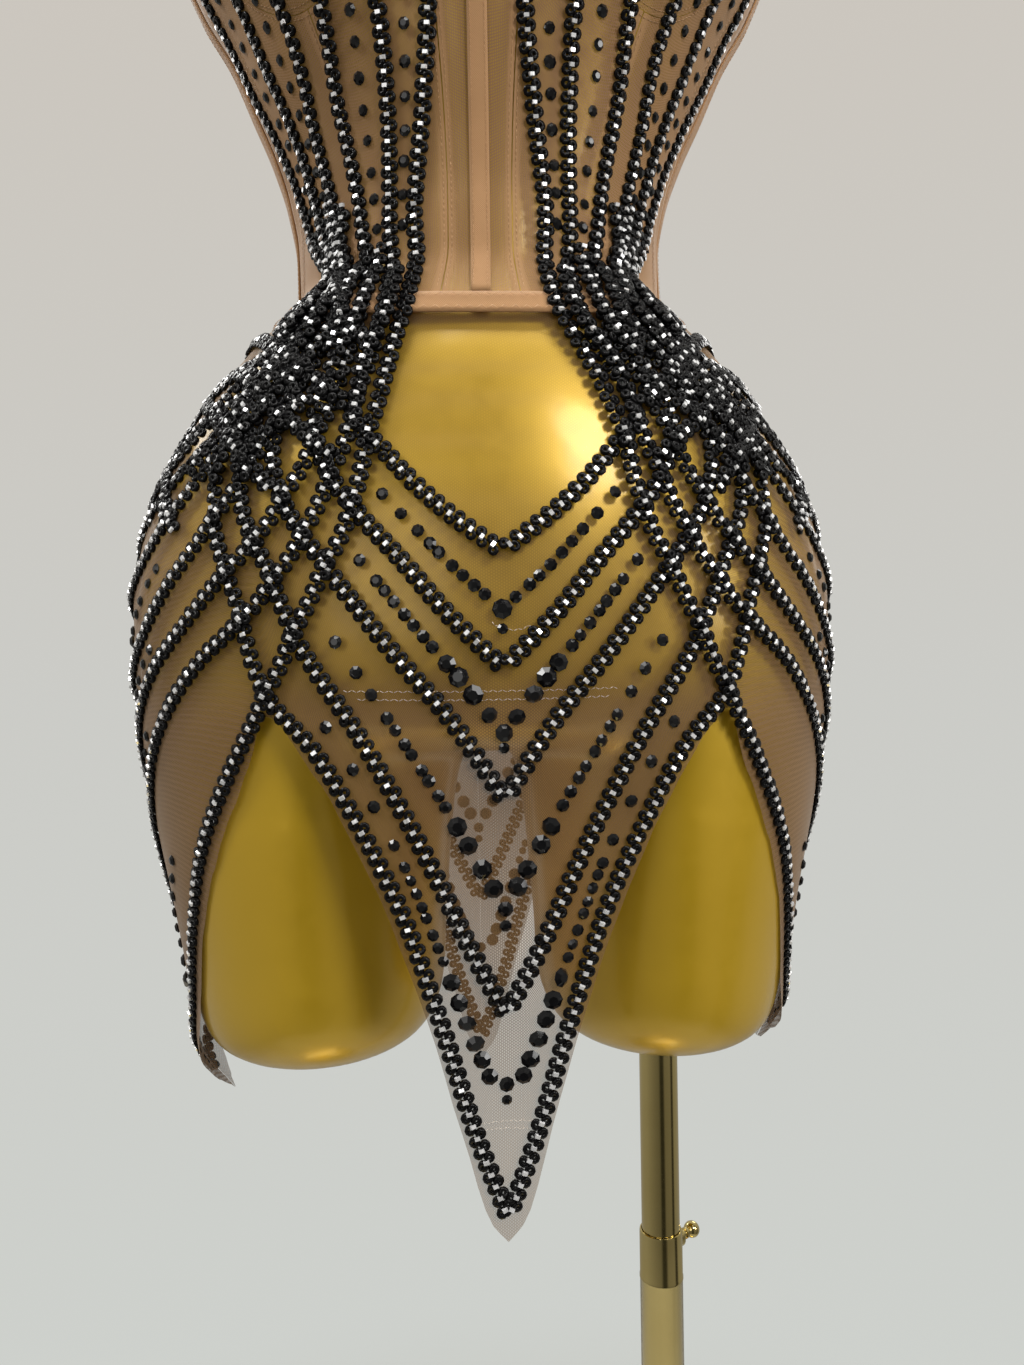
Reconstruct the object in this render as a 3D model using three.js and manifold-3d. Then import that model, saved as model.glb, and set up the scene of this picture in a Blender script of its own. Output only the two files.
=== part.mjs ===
// A strapless mini dress of sheer stretch net, trimmed with beaded braid, worn on a torso dress form.
// The form stands on a telescopic tube and a round base. Millimetres, +Z up, the front faces -Y.
// The origin is on the floor, under the middle of the base.
import * as THREE from "three";
import { mergeVertices } from "three/addons/utils/BufferGeometryUtils.js";
import Module from "manifold-3d";

const wasm = await Module();
wasm.setup();

// ---------- driving sizes ----------
const CLOTH_WALL = 1.0; // net and its seams
const FORM_GAP = 2.5; // between the form and the cloth's inner face
const FORM_BUST_SHARE = 0.7; // the cups are moulded, and stand a little off the bust of the form
const SEAM_GAP_DEG = 0.14; // half the space between two panels at a seam, in degrees round the body
const EDGE_GAP = 0.3; // between edges that meet
const TAPE_WALL = 1.0;
const TAPE_LIFT = 0.8; // under a tape, where its flat facets cross the round cloth
const TAPE_WIDTH = 8.4;
const WAIST_TAPE_HEIGHT = 9.5;
const NECK_TAPE_HEIGHT = 7;
const BRAID_WIDTH = 7.2;
const BRAID_HEIGHT = 3.0;
const BRAID_LIFT = 1.5; // under the braid, in the same way
const BRAID_CROSSING_RISE = 0.5; // where one braid passes through another, its underside is higher
const BRAID_STEP = 38;
const BRAID_STEP_BODICE = 26;
const BUNDLE_HEIGHT = 5;
const SKIRT_TURN_DEG = 1.1; // the skirt sits turned on the form, and the bodice the other way
const BODICE_TURN_DEG = -1.5;
const FORM_SEGMENTS = 24;
const THIGH_GAP = 5; // between the thighs of the form and the skirt

const BASE_RADIUS = 190;
const BASE_THICKNESS = 6;
const POLE = { x: 86, y: 4 };
const OUTER_TUBE = { radius: 11, bore: 10.1, top: 616 };
const INNER_TUBE = { radius: 9.8, bore: 8.6, bottom: 300, top: 770 };
const SOCKET_GAP = 0.3;
const CLAMP = { height: 606, angleDeg: 38, shankRadius: 2.1, knobRadius: 4.2, knobCentre: 25, bossRadius: 4.6, bossEnd: 14.5 };

// One row for each level of the dress: height, half width, depth to the front and to the back.
const table = (names, rows) => rows.map((row) => Object.fromEntries(names.map((name, i) => [name, row[i]])));
const SECTIONS = table(["z", "half", "front", "back"], [
  [665, 141, 94, 113],
  [745, 147, 99, 117],
  [795, 155, 103, 121],
  [842, 164, 106, 124],
  [891, 170.5, 109, 126],
  [915, 172, 109, 126],
  [940, 172, 108, 124],
  [964, 168.5, 106, 120],
  [989, 161, 103, 113],
  [1013, 149, 99, 105],
  [1038, 133, 93, 96],
  [1063, 112, 86, 88],
  [1075, 98, 82, 84],
  [1088, 87, 79, 81],
  [1112, 87, 79, 80],
  [1136, 91.5, 82, 81],
  [1159, 99, 87, 83],
  [1182, 109.5, 92, 86],
  [1207, 121, 96, 89],
  [1231, 135, 99, 91],
  [1265, 147, 98, 91],
  [1300, 149, 92, 90],
  [1340, 150, 85, 89],
  [1385, 153, 74, 86],
  [1412, 154, 66, 81],
  [1436, 145, 59, 74],
  [1450, 124, 55, 67],
  [1461, 96, 53, 61],
  [1473, 70, 51, 56],
  [1490, 57, 50, 52],
  [1520, 53, 49, 50],
  [1548, 51, 47, 49],
  [1560, 43, 40, 41],
]);
const BUST = { angleDeg: 34, z: 1245, fullness: 24, spreadDeg: 25, spreadZ: 44 };

// The thighs of the form: height, inner and outer edge, depth, and how far the round end has closed.
const THIGH_SECTIONS = table(["z", "inner", "outer", "depth", "closing"], [
  [905, 6, 150, 84, 1],
  [880, 3, 163, 92, 1],
  [860, 7, 166, 90, 1],
  [835, 12, 163, 88, 1],
  [800, 18, 157, 84, 1],
  [766, 22, 151, 80, 1],
  [747, 23, 149, 79, 0.965],
  [734, 23, 148, 78, 0.88],
  [727, 23, 148, 78, 0.76],
  [723.5, 23, 148, 78, 0.58],
]);

// The hem round one quarter, from a point at the centre front to a point at the side.
const HEM = table(["angle", "z"], [
  [0, 668], [3, 677], [7, 711], [13, 767], [20, 822], [27, 862], [35, 888],
  [38, 870], [45, 841], [56, 799], [67, 752], [77, 722], [86, 704], [90, 700],
]);
// The top edge from the centre front to the centre back.
const NECKLINE = table(["angle", "z"], [
  [0, 1258], [9, 1274], [20, 1312], [32, 1328], [45, 1326], [60, 1313], [76, 1300], [95, 1292], [120, 1288], [180, 1286],
]);

// Braids of the skirt in one quarter: pairs of angle and height, from the point of the chevron to the waist.
const FRONT_BRAIDS = [
  [[0, 953], [6, 966], [12, 981], [17.2, 996], [23, 1011]],
  [[0, 906], [7, 927], [13.5, 950], [20, 970], [26, 990], [30, 1011]],
  [[0, 853], [7, 885], [14.5, 912], [24.4, 949], [30, 968], [35, 990], [37, 1010]],
  [[0, 764], [5, 791], [10, 823], [15, 853], [20, 880], [28.5, 918], [34, 950], [40, 976], [43, 1010]],
  [[0, 679], [5, 714], [10, 760], [15, 805], [20, 838], [27, 874], [34, 896], [39.5, 938], [46, 974], [48.5, 1010]],
];
const SIDE_BRAIDS = [
  [[90, 1028], [75, 1034], [60, 1042], [48, 1050]],
  [[90, 985], [80, 992], [68, 1004], [58, 1020], [48, 1032]],
  [[90, 935], [78, 946], [64.6, 966], [52.6, 992], [47, 1010]],
  [[90, 890], [78, 906], [68.9, 920], [52, 954], [41.5, 986], [38, 1010]],
  [[90, 846], [78, 876], [67, 898], [48.7, 932], [36, 962], [30, 990], [28, 1010]],
  [[90, 790], [78, 838], [68.6, 864], [48.7, 908], [36.5, 931], [28.8, 958], [24.5, 988], [23, 1010]],
  [[90, 709], [80, 731], [70, 760], [55, 820], [42, 866], [34, 896], [26.5, 935], [21, 970], [19.5, 1010]],
];
// Braids of the bodice in one quarter, from the waist upwards. The first four run up the back as well.
const BODICE_BRAIDS = [
  [[18, 1090], [18.4, 1108], [14.2, 1147], [10.4, 1182], [9.6, 1212], [13, 1246], [19, 1280]],
  [[25.6, 1090], [26, 1112], [23.7, 1150], [21.2, 1185], [21.5, 1220], [24, 1260], [27, 1305]],
  [[34, 1090], [37, 1116], [38.5, 1155], [34, 1190], [33, 1225], [33.5, 1265], [35, 1315]],
  [[42, 1090], [47, 1112], [50, 1146], [46, 1180], [44.5, 1210], [43.5, 1250], [43, 1312]],
  [[48, 1090], [55, 1112], [59, 1142], [60, 1175], [58, 1210], [55, 1250], [52, 1306]],
  [[52, 1090], [61, 1107], [68, 1134], [73, 1165], [75, 1200], [70, 1240], [63, 1298]],
];
const BACK_BODICE_BRAIDS = 3;
// The dense knot of braid at the waist: height, and its inner and outer edge round the body.
const BUNDLE = table(["z", "from", "to"], [
  [1004, 17, 51], [1028, 15.5, 51], [1046, 13.8, 50], [1062, 13.6, 50], [1078, 15, 51], [1096, 16.4, 56],
]);

// Panels of the bodice between their seams, in degrees from the centre front.
const PANEL_COLUMNS = {
  gore: [-9, 0, 9],
  front: [9, 16, 23, 30, 38],
  side_front: [38, 46, 54, 62.5, 71],
  side: [71, 81, 91, 100, 110],
  back: [110, 120, 130, 140, 150, 160, 171, 180],
};
const SIDE_BONE = 86;
const BACK_BONE = 112;
const ZIP = { half: 12, chainHalf: 2.6, chainRise: 1.3, bottom: 978 };
const CUP = { inner: 9, outer: 71, lowest: 1190, middle: 39, rise: 62 };

// ---------- the shape of the body ----------
const rad = THREE.MathUtils.degToRad;
const smooth = (from, to, v) => THREE.MathUtils.smoothstep(v, from, to);

// A monotone cubic through one column of a table, so that the outline has no overshoot.
function curveThrough(rows, key, column) {
  const at = rows.map((r) => r[key]);
  const value = rows.map((r) => r[column]);
  const slope = at.slice(1).map((v, i) => (value[i + 1] - value[i]) / (v - at[i]));
  const tangent = at.map((_, i) => {
    if (i === 0) return slope[0];
    if (i === at.length - 1) return slope[i - 1];
    if (slope[i - 1] * slope[i] <= 0) return 0;
    return (2 * slope[i - 1] * slope[i]) / (slope[i - 1] + slope[i]);
  });
  return (v) => {
    const x = THREE.MathUtils.clamp(v, at[0], at[at.length - 1]);
    let i = at.findIndex((a) => a >= x) - 1;
    i = Math.max(0, i);
    const h = at[i + 1] - at[i];
    const t = (x - at[i]) / h;
    const u = 1 - t;
    return value[i] * (1 + 2 * t) * u * u + h * tangent[i] * t * u * u
      + value[i + 1] * t * t * (3 - 2 * t) - h * tangent[i + 1] * t * t * u;
  };
}
const halfAt = curveThrough(SECTIONS, "z", "half");
const frontAt = curveThrough(SECTIONS, "z", "front");
const backAt = curveThrough(SECTIONS, "z", "back");

function bustAt(angleDeg, z) { // how far the bust stands out of the round body
  const lift = Math.exp(-(((z - BUST.z) / BUST.spreadZ) ** 2));
  const side = (centre) => Math.exp(-(((angleDeg - centre) / BUST.spreadDeg) ** 2));
  return BUST.fullness * lift * (side(BUST.angleDeg) + side(-BUST.angleDeg));
}
// A point on the body at an angle round it and a height, moved out along the level normal.
function bodyPoint(angleDeg, z, out, bustShare = 1) {
  const wrapped = THREE.MathUtils.euclideanModulo(angleDeg + 180, 360) - 180;
  const s = Math.sin(rad(wrapped));
  const c = Math.cos(rad(wrapped));
  const half = halfAt(z);
  const depth = c > 0 ? frontAt(z) : backAt(z);
  const normal = new THREE.Vector3(s / half, -c / depth, 0).normalize();
  return new THREE.Vector3(half * s, -depth * c, z).addScaledVector(normal, out + bustShare * bustAt(wrapped, z));
}
const turnAt = (z) => THREE.MathUtils.lerp(SKIRT_TURN_DEG, BODICE_TURN_DEG, smooth(1010, 1075, z));
const clothPoint = (angleDeg, z, out) => bodyPoint(angleDeg + turnAt(z), z, out);

const waistAt = (angleDeg) => 1056 + 16 * Math.sin(rad(angleDeg)) ** 2;
const neckCurve = curveThrough(NECKLINE, "angle", "z");
const neckAt = (angleDeg) => neckCurve(Math.abs(angleDeg));
const wireAt = (angleDeg) => CUP.lowest + CUP.rise * ((Math.abs(angleDeg) - CUP.middle) / 31) ** 2;
const hemCurve = curveThrough(HEM, "angle", "z");

// ---------- building solids ----------
const WHITE_NET = material(0xc79a7b, 0.75, 0);
const TAPE = material(0xd0a283, 0.8, 0);
const JET = material(0x0b0b0d, 0.2, 0.3);
const GOLD_FORM = material(0xa98a2c, 0.35, 0.6);
const BRASS = material(0xb49a4a, 0.2, 1);

function material(color, roughness, metalness) {
  return new THREE.MeshStandardMaterial({ color, roughness, metalness });
}
const part = new THREE.Group();
function add(name, geometry, finish, parent = part) {
  geometry.computeVertexNormals();
  const mesh = new THREE.Mesh(geometry, finish);
  mesh.name = name;
  parent.add(mesh);
  return mesh;
}
function geometryOf(points, triangles) {
  const g = new THREE.BufferGeometry();
  g.setAttribute("position", new THREE.Float32BufferAttribute(points.flatMap((p) => [p.x, p.y, p.z]), 3));
  g.setIndex(triangles);
  return g;
}
// A closed skin over rings of points that all have the same count, the ends filled by flat fans.
function skinOver(rings) {
  const n = rings[0].length;
  const triangles = [];
  for (let r = 0; r + 1 < rings.length; r++) {
    for (let i = 0; i < n; i++) {
      const a = r * n + i;
      const b = r * n + ((i + 1) % n);
      triangles.push(a, b, b + n, a, b + n, a + n);
    }
  }
  const last = (rings.length - 1) * n;
  for (let i = 1; i + 1 < n; i++) {
    triangles.push(0, i + 1, i, last, last + i, last + i + 1);
  }
  return geometryOf(rings.flat(), triangles);
}
// A wall over a grid of angles and rows. pointAt(angle, row, side) gives a point, side 0 inside and 1 outside.
function wallOver(angles, rowCount, pointAt) {
  const rings = angles.map((angle) => {
    const inside = [];
    const outside = [];
    for (let row = 0; row <= rowCount; row++) {
      outside.push(pointAt(angle, row, 1));
      inside.unshift(pointAt(angle, row, 0));
    }
    return [...outside, ...inside];
  });
  const n = rings[0].length;
  const strip = rowCount + 1;
  const triangles = [];
  for (let r = 0; r + 1 < rings.length; r++) {
    for (let i = 0; i < n; i++) {
      const a = r * n + i;
      const b = r * n + ((i + 1) % n);
      if (i < strip) triangles.push(a, b + n, b, a, a + n, b + n);
      else triangles.push(a, a + n, b, b, a + n, b + n); // the same diagonal on both faces of the wall
    }
  }
  const last = (rings.length - 1) * n;
  for (let i = 0; i + 1 < strip; i++) {
    const o = i;
    const mate = n - 1 - i;
    triangles.push(o, mate - 1, mate, o, o + 1, mate - 1);
    triangles.push(last + o, last + mate, last + mate - 1, last + o, last + mate - 1, last + o + 1);
  }
  return geometryOf(rings.flat(), triangles);
}
function solidOf(geometry) {
  const bare = geometry.clone();
  bare.deleteAttribute("normal");
  bare.deleteAttribute("uv");
  const merged = mergeVertices(bare, 1e-4);
  return new wasm.Manifold(new wasm.Mesh({
    numProp: 3,
    vertProperties: merged.attributes.position.array,
    triVerts: new Uint32Array(merged.index.array),
  }));
}
function geometryFrom(solid) {
  const mesh = solid.getMesh();
  const g = new THREE.BufferGeometry();
  g.setAttribute("position", new THREE.BufferAttribute(new Float32Array(mesh.vertProperties), 3));
  g.setIndex(new THREE.BufferAttribute(new Uint32Array(mesh.triVerts), 1));
  return g;
}
const range = (from, to, count) => Array.from({ length: count + 1 }, (_, i) => from + ((to - from) * i) / count);
const lathe = (profile, segments) => {
  const closed = [...profile, profile[0]].map(([r, z]) => new THREE.Vector2(r, z));
  return new THREE.LatheGeometry(closed, segments).rotateX(Math.PI / 2);
};
const rod = (radius, from, to, segments) => new THREE.CylinderGeometry(radius, radius, to - from, segments)
  .rotateX(Math.PI / 2).translate(0, 0, (from + to) / 2);

// ---------- the stand ----------
function stand() {
  const rim = 1.5;
  add("base_plate", lathe([
    [0, 0], [BASE_RADIUS, 0], [BASE_RADIUS, BASE_THICKNESS - rim], [BASE_RADIUS - rim, BASE_THICKNESS], [0, BASE_THICKNESS],
  ], 32), BRASS);

  const flange = 24;
  const foot = BASE_THICKNESS + EDGE_GAP;
  const tube = lathe([
    [OUTER_TUBE.bore, foot], [flange, foot], [flange, foot + 4], [OUTER_TUBE.radius + 2.5, foot + 9],
    [OUTER_TUBE.radius, foot + 16], [OUTER_TUBE.radius, OUTER_TUBE.top], [OUTER_TUBE.bore, OUTER_TUBE.top],
  ], 20).translate(POLE.x, POLE.y, 0);
  const acrossTube = (geometry) => geometry.rotateY(Math.PI / 2).rotateZ(rad(CLAMP.angleDeg))
    .translate(POLE.x, POLE.y, CLAMP.height);
  const middle = (OUTER_TUBE.bore + OUTER_TUBE.radius) / 2;
  const boss = acrossTube(rod(CLAMP.bossRadius, middle, CLAMP.bossEnd, 12));
  const hole = acrossTube(rod(CLAMP.shankRadius + EDGE_GAP, 0, CLAMP.bossEnd + 5, 12));
  add("outer_tube", geometryFrom(solidOf(tube).add(solidOf(boss)).subtract(solidOf(hole))), BRASS);

  const tip = INNER_TUBE.radius + EDGE_GAP;
  const ball = range(30, 180, 5).map((t) => [
    CLAMP.knobRadius * Math.sin(rad(t)), CLAMP.knobCentre - CLAMP.knobRadius * Math.cos(rad(t)),
  ]);
  ball[ball.length - 1][0] = 0;
  add("clamp_screw", acrossTube(lathe([[0, tip], [CLAMP.shankRadius, tip], ...ball], 12)), BRASS);

  add("inner_tube", lathe([
    [INNER_TUBE.bore, INNER_TUBE.bottom], [INNER_TUBE.radius, INNER_TUBE.bottom],
    [INNER_TUBE.radius, INNER_TUBE.top], [INNER_TUBE.bore, INNER_TUBE.top],
  ], 20).translate(POLE.x, POLE.y, 0), BRASS);
}

// ---------- the dress form ----------
// Height, and how far the form lies inside the cloth's line: more where its seat rounds under into the thighs,
// and at the waist, where the boned corset stands off it.
const FORM_LEVELS = [
  [858, 27], [866, 15], [877, 7], [893, 3.2],
  ...[915, 940, 965, 990, 1012, 1030].map((z) => [z, FORM_GAP]),
  [1046, 3.2], [1060, 4.6], [1073, 6.4], [1087, 8], [1102, 8.6], [1122, 8], [1148, 6], [1175, 4], [1203, 3.4],
  [1225, 3.2], ...[1247, 1268, 1292, 1325, 1385, 1414, 1436, 1450, 1462, 1475, 1492, 1548, 1560].map((z) => [z, FORM_GAP]),
];
function dressForm() {
  const angles = range(0, 360, FORM_SEGMENTS).slice(0, -1);
  const torso = skinOver(FORM_LEVELS.map(([z, gap]) => angles.map((a) => bodyPoint(a, z, -gap, FORM_BUST_SHARE))));
  // Each thigh is an oval, drawn in where it would come nearer to the cloth than the gap.
  const insideCloth = (point, centre) => {
    const depth = (point.y < 0 ? frontAt : backAt)(point.z) - THIGH_GAP;
    const share = Math.hypot(point.x / (halfAt(point.z) - THIGH_GAP), point.y / depth);
    return share > 1 ? point.lerp(centre, 1 - 1 / share) : point;
  };
  const thigh = (side) => skinOver([...THIGH_SECTIONS].reverse().map((row) => {
    const centre = new THREE.Vector3(((row.inner + row.outer) / 2) * side, 4, row.z);
    const half = ((row.outer - row.inner) / 2) * row.closing;
    return range(0, 360, 16).slice(0, -1).map((a) => insideCloth(new THREE.Vector3(
      centre.x + half * Math.sin(rad(a)), centre.y - row.depth * row.closing * Math.cos(rad(a)), row.z), centre));
  }));
  const socket = rod(INNER_TUBE.radius + SOCKET_GAP, 690, INNER_TUBE.top + SOCKET_GAP, 24).translate(POLE.x, POLE.y, 0);
  const solid = solidOf(torso).add(solidOf(thigh(1))).add(solidOf(thigh(-1))).subtract(solidOf(socket));
  add("dress_form", geometryFrom(solid), GOLD_FORM);
}

// ---------- the bodice ----------
// A panel between two seams. heightsAt gives its rows at one angle, from the lower edge to the upper.
function panel(name, columns, heightsAt) {
  const angles = [...columns];
  angles[0] += SEAM_GAP_DEG;
  angles[angles.length - 1] -= SEAM_GAP_DEG;
  const rows = heightsAt(angles[0]).length - 1;
  add(name, wallOver(angles, rows, (angle, row, side) => (
    clothPoint(angle, heightsAt(angle)[row], side * CLOTH_WALL))), WHITE_NET);
}
// The rows are closest together at the waist, where the body curves most.
const BODICE_ROWS = [0, 0.06, 0.14, 0.24, 0.37, 0.52, 0.66, 0.78, 0.89, 1];
const rowsBetween = (shares, low, high) => shares.map((share) => THREE.MathUtils.lerp(low, high, share));
function bodiceHeights(angle) {
  const low = waistAt(angle);
  const high = neckAt(angle);
  return [low, ...rowsBetween(BODICE_ROWS, low + WAIST_TAPE_HEIGHT, high - NECK_TAPE_HEIGHT), high];
}
const MIDRIFF_ROWS = [0, 0.12, 0.26, 0.42, 0.6, 0.8, 1];
function midriffHeights(angle) {
  const low = waistAt(angle);
  return [low, ...rowsBetween(MIDRIFF_ROWS, low + WAIST_TAPE_HEIGHT, wireAt(angle) - EDGE_GAP)];
}
const CUP_ROWS = [0, 0.17, 0.34, 0.51, 0.68, 0.84, 1];
function cupHeights(angle) {
  const high = neckAt(angle);
  return [...rowsBetween(CUP_ROWS, wireAt(angle), high - NECK_TAPE_HEIGHT), high];
}
const mirrored = (columns) => columns.map((angle) => -angle).reverse();
function bodice() {
  panel("bodice_gore", PANEL_COLUMNS.gore, bodiceHeights);
  const cup = [...PANEL_COLUMNS.front, ...PANEL_COLUMNS.side_front.slice(1)];
  for (const [side, way] of [["right", (columns) => columns], ["left", mirrored]]) {
    panel(`bodice_front_${side}`, way(PANEL_COLUMNS.front), midriffHeights);
    panel(`bodice_side_front_${side}`, way(PANEL_COLUMNS.side_front), midriffHeights);
    panel(`bodice_side_${side}`, way(PANEL_COLUMNS.side), bodiceHeights);
    panel(`bodice_back_${side}`, way(PANEL_COLUMNS.back), bodiceHeights);
    panel(`cup_${side}`, way(cup), cupHeights);
  }
}

// ---------- tapes laid on the panels ----------
const TAPE_IN = CLOTH_WALL + TAPE_LIFT;
const TAPE_OUT = TAPE_IN + TAPE_WALL;
const degreesFor = (width, z) => THREE.MathUtils.radToDeg(width / halfAt(z));
// A tape round the body over the panels' own columns, open at the zip.
function bandAround(name, lower, height) {
  const end = 180 - degreesFor(ZIP.half, name === "waist_tape" ? 1060 : 1286) - 0.8;
  const half = Object.values(PANEL_COLUMNS).flat().filter((angle) => angle > 0 && angle < end - 1);
  const right = [...new Set(half)];
  const columns = [-end, ...mirrored(right), 0, ...right, end];
  add(name, wallOver(columns, 1, (angle, row, side) => (
    clothPoint(angle, lower(angle) + row * height, side ? TAPE_OUT : TAPE_IN))), TAPE);
}
// A tape that runs up the body at one angle.
function bandUp(name, angle, fromZ, toZ) {
  const lengthPerRadian = (z) => Math.hypot(halfAt(z) * Math.cos(rad(angle)), frontAt(z) * Math.sin(rad(angle)));
  const halfDeg = (z) => THREE.MathUtils.radToDeg(TAPE_WIDTH / 2 / lengthPerRadian(z));
  const heights = rowsBetween(BODICE_ROWS, fromZ, toZ);
  add(name, wallOver([-1, 1], heights.length - 1, (across, row, side) => (
    clothPoint(angle + across * halfDeg(heights[row]), heights[row], side ? TAPE_OUT : TAPE_IN))), TAPE);
}
function tapes() {
  bandAround("waist_tape", waistAt, WAIST_TAPE_HEIGHT);
  bandAround("neck_tape", (angle) => neckAt(angle) - NECK_TAPE_HEIGHT, NECK_TAPE_HEIGHT);
  const above = (angle) => waistAt(angle) + WAIST_TAPE_HEIGHT + EDGE_GAP;
  const below = (angle) => neckAt(angle) - NECK_TAPE_HEIGHT - EDGE_GAP;
  bandUp("bone_casing_front", 0, above(0), below(0));
  for (const [side, sign] of [["right", 1], ["left", -1]]) {
    bandUp(`bone_casing_side_${side}`, SIDE_BONE * sign, above(SIDE_BONE) + 1, below(SIDE_BONE) - 2);
    bandUp(`bone_casing_back_${side}`, BACK_BONE * sign, above(BACK_BONE) + 1, below(BACK_BONE) - 2);
  }
}

// ---------- the skirt ----------
// Any angle brought into the first quarter, where 0 is a centre line and 90 a side.
const quarterOf = (angle) => {
  const a = Math.abs(THREE.MathUtils.euclideanModulo(angle + 180, 360) - 180);
  return a > 90 ? 180 - a : a;
};
const hemAt = (angle) => hemCurve(quarterOf(angle));
const SKIRT_LEVELS = [922, 952, 976, 994, 1009, 1021, 1031, 1040, 1048];
const HEM_SHARES = [0, 0.3, 0.65];
const skirtHeights = (angle) => [
  ...rowsBetween(HEM_SHARES, hemAt(angle), SKIRT_LEVELS[0]), ...SKIRT_LEVELS, waistAt(angle) - EDGE_GAP,
];
function skirt() {
  const quarter = HEM.map((row) => row.angle);
  panel("skirt_front", [...mirrored(quarter).slice(0, -1), ...quarter], skirtHeights);
  const back = mirrored(quarter).map((angle) => angle + 180); // from the side seam to the centre back
  panel("skirt_back_right", back, skirtHeights);
  panel("skirt_back_left", mirrored(back), skirtHeights);
}

// ---------- the zip at the centre back ----------
function zip() {
  const top = neckAt(180) - 2;
  const across = [-ZIP.half, -ZIP.chainHalf - 0.4, -ZIP.chainHalf, ZIP.chainHalf, ZIP.chainHalf + 0.4, ZIP.half];
  const raised = [0, 0, ZIP.chainRise, ZIP.chainRise, 0, 0];
  const levels = [ZIP.bottom, 1000, 1018, 1034, 1048, 1060, 1074, 1090, 1112, 1136, 1160, 1184, 1210, 1240, top];
  add("zip", wallOver(across.map((_, i) => i), levels.length - 1, (i, row, side) => (
    clothPoint(180 + degreesFor(across[i], levels[row]), levels[row], side ? TAPE_OUT + raised[i] : TAPE_IN))), TAPE);

  // The slider stands on the chain, with the pull on the bar under its bridge.
  const slider = new THREE.Group();
  const sliderZ = top - 9;
  const out = TAPE_OUT + ZIP.chainRise + EDGE_GAP + 0.2;
  const seat = clothPoint(180, sliderZ, out);
  const ahead = clothPoint(180, sliderZ, out + 1).sub(seat);
  slider.position.copy(seat);
  slider.rotation.z = Math.atan2(-ahead.x, ahead.y);
  part.add(slider);
  const box = (w, d, h, x, y, z) => solidOf(new THREE.BoxGeometry(w, d, h).translate(x, y, z));
  const body = box(8, 2.4, 11, 0, 1.4, 0);
  const bridge = box(1.4, 1.3, 9.4, 0, 5.9, 0).add(box(1.4, 4.2, 1.4, 0, 4.4, 4)).add(box(1.4, 4.2, 1.4, 0, 4.4, -4));
  add("zip_slider", geometryFrom(body.add(bridge)), BRASS, slider);
  const barY = 3.95;
  const frame = box(5.8, 1, 1, 0, barY, 0).add(box(1, 1, 6.6, 2.4, barY, -2.8)).add(box(1, 1, 6.6, -2.4, barY, -2.8));
  const tab = box(5.8, 1, 19, 0, barY, -15.3);
  add("zip_pull", geometryFrom(frame.add(tab)), BRASS, slider);
}

// ---------- the beaded braid ----------
const QUARTERS = [(a) => a, (a) => -a, (a) => 180 - a, (a) => a - 180];
// Over the waist tape the braid stands further out.
function braidBase(angle, z) {
  const waist = waistAt(angle);
  const overTape = smooth(waist - 18, waist - 4, z) * (1 - smooth(waist + 15, waist + 30, z));
  return CLOTH_WALL + BRAID_LIFT + overTape * (TAPE_OUT - CLOTH_WALL);
}
// A length of braid along a smooth line of angle and height: a low ridge with a flat underside.
// Each ring is lifted by the sag of the straight runs beside it, so that the underside clears the cloth.
function braidStrip(points, turned, stepLength, raised = 0) {
  const controls = points.map(([angle, z]) => new THREE.Vector3(turned(angle), z, 0));
  const line = new THREE.CatmullRomCurve3(controls, false, "centripetal");
  const at = (t, out) => {
    const p = line.getPoint(THREE.MathUtils.clamp(t, 0, 1));
    return clothPoint(p.x, p.y, braidBase(p.x, p.y) + out);
  };
  const fine = range(0, 1, 60).map((t) => at(t, 0));
  const length = fine.slice(1).reduce((sum, p, i) => sum + p.distanceTo(fine[i]), 0);
  const steps = Math.max(2, Math.ceil(length / stepLength));
  const sagAfter = (i) => {
    if (i < 0 || i >= steps) return 0;
    const normal = at((i + 0.5) / steps, 1).sub(at((i + 0.5) / steps, 0));
    const chord = at(i / steps, 0).add(at((i + 1) / steps, 0)).multiplyScalar(0.5);
    return Math.max(0, at((i + 0.5) / steps, 0).sub(chord).dot(normal));
  };
  const rings = range(0, steps, steps).map((i) => {
    const t = i / steps;
    const centre = at(t, Math.max(sagAfter(i - 1), sagAfter(i)) + raised);
    const normal = at(t, 1).sub(at(t, 0)).normalize();
    const along = at(t + 0.01, 0).sub(at(t - 0.01, 0)).normalize();
    const across = new THREE.Vector3().crossVectors(normal, along).normalize();
    return [
      centre.clone().addScaledVector(across, -BRAID_WIDTH / 2),
      centre.clone().addScaledVector(across, BRAID_WIDTH / 2),
      centre.clone().addScaledVector(normal, BRAID_HEIGHT - 2 * raised),
    ];
  });
  return solidOf(skinOver(rings));
}
// The knot of braids at the waist, as one raised patch.
function bundlePatch(turned) {
  const across = range(0, 1, 4);
  const points = (share, row, side) => {
    const level = BUNDLE[row];
    const angle = THREE.MathUtils.lerp(level.from, level.to, share);
    const inset = share === 0 || share === 1 ? 0.5 : 1;
    return clothPoint(turned(angle), level.z, braidBase(angle, level.z) + (side ? BUNDLE_HEIGHT * inset : 0));
  };
  const rightWay = turned(1) > turned(0);
  return solidOf(wallOver(rightWay ? across : [...across].reverse(), BUNDLE.length - 1, points));
}
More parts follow.
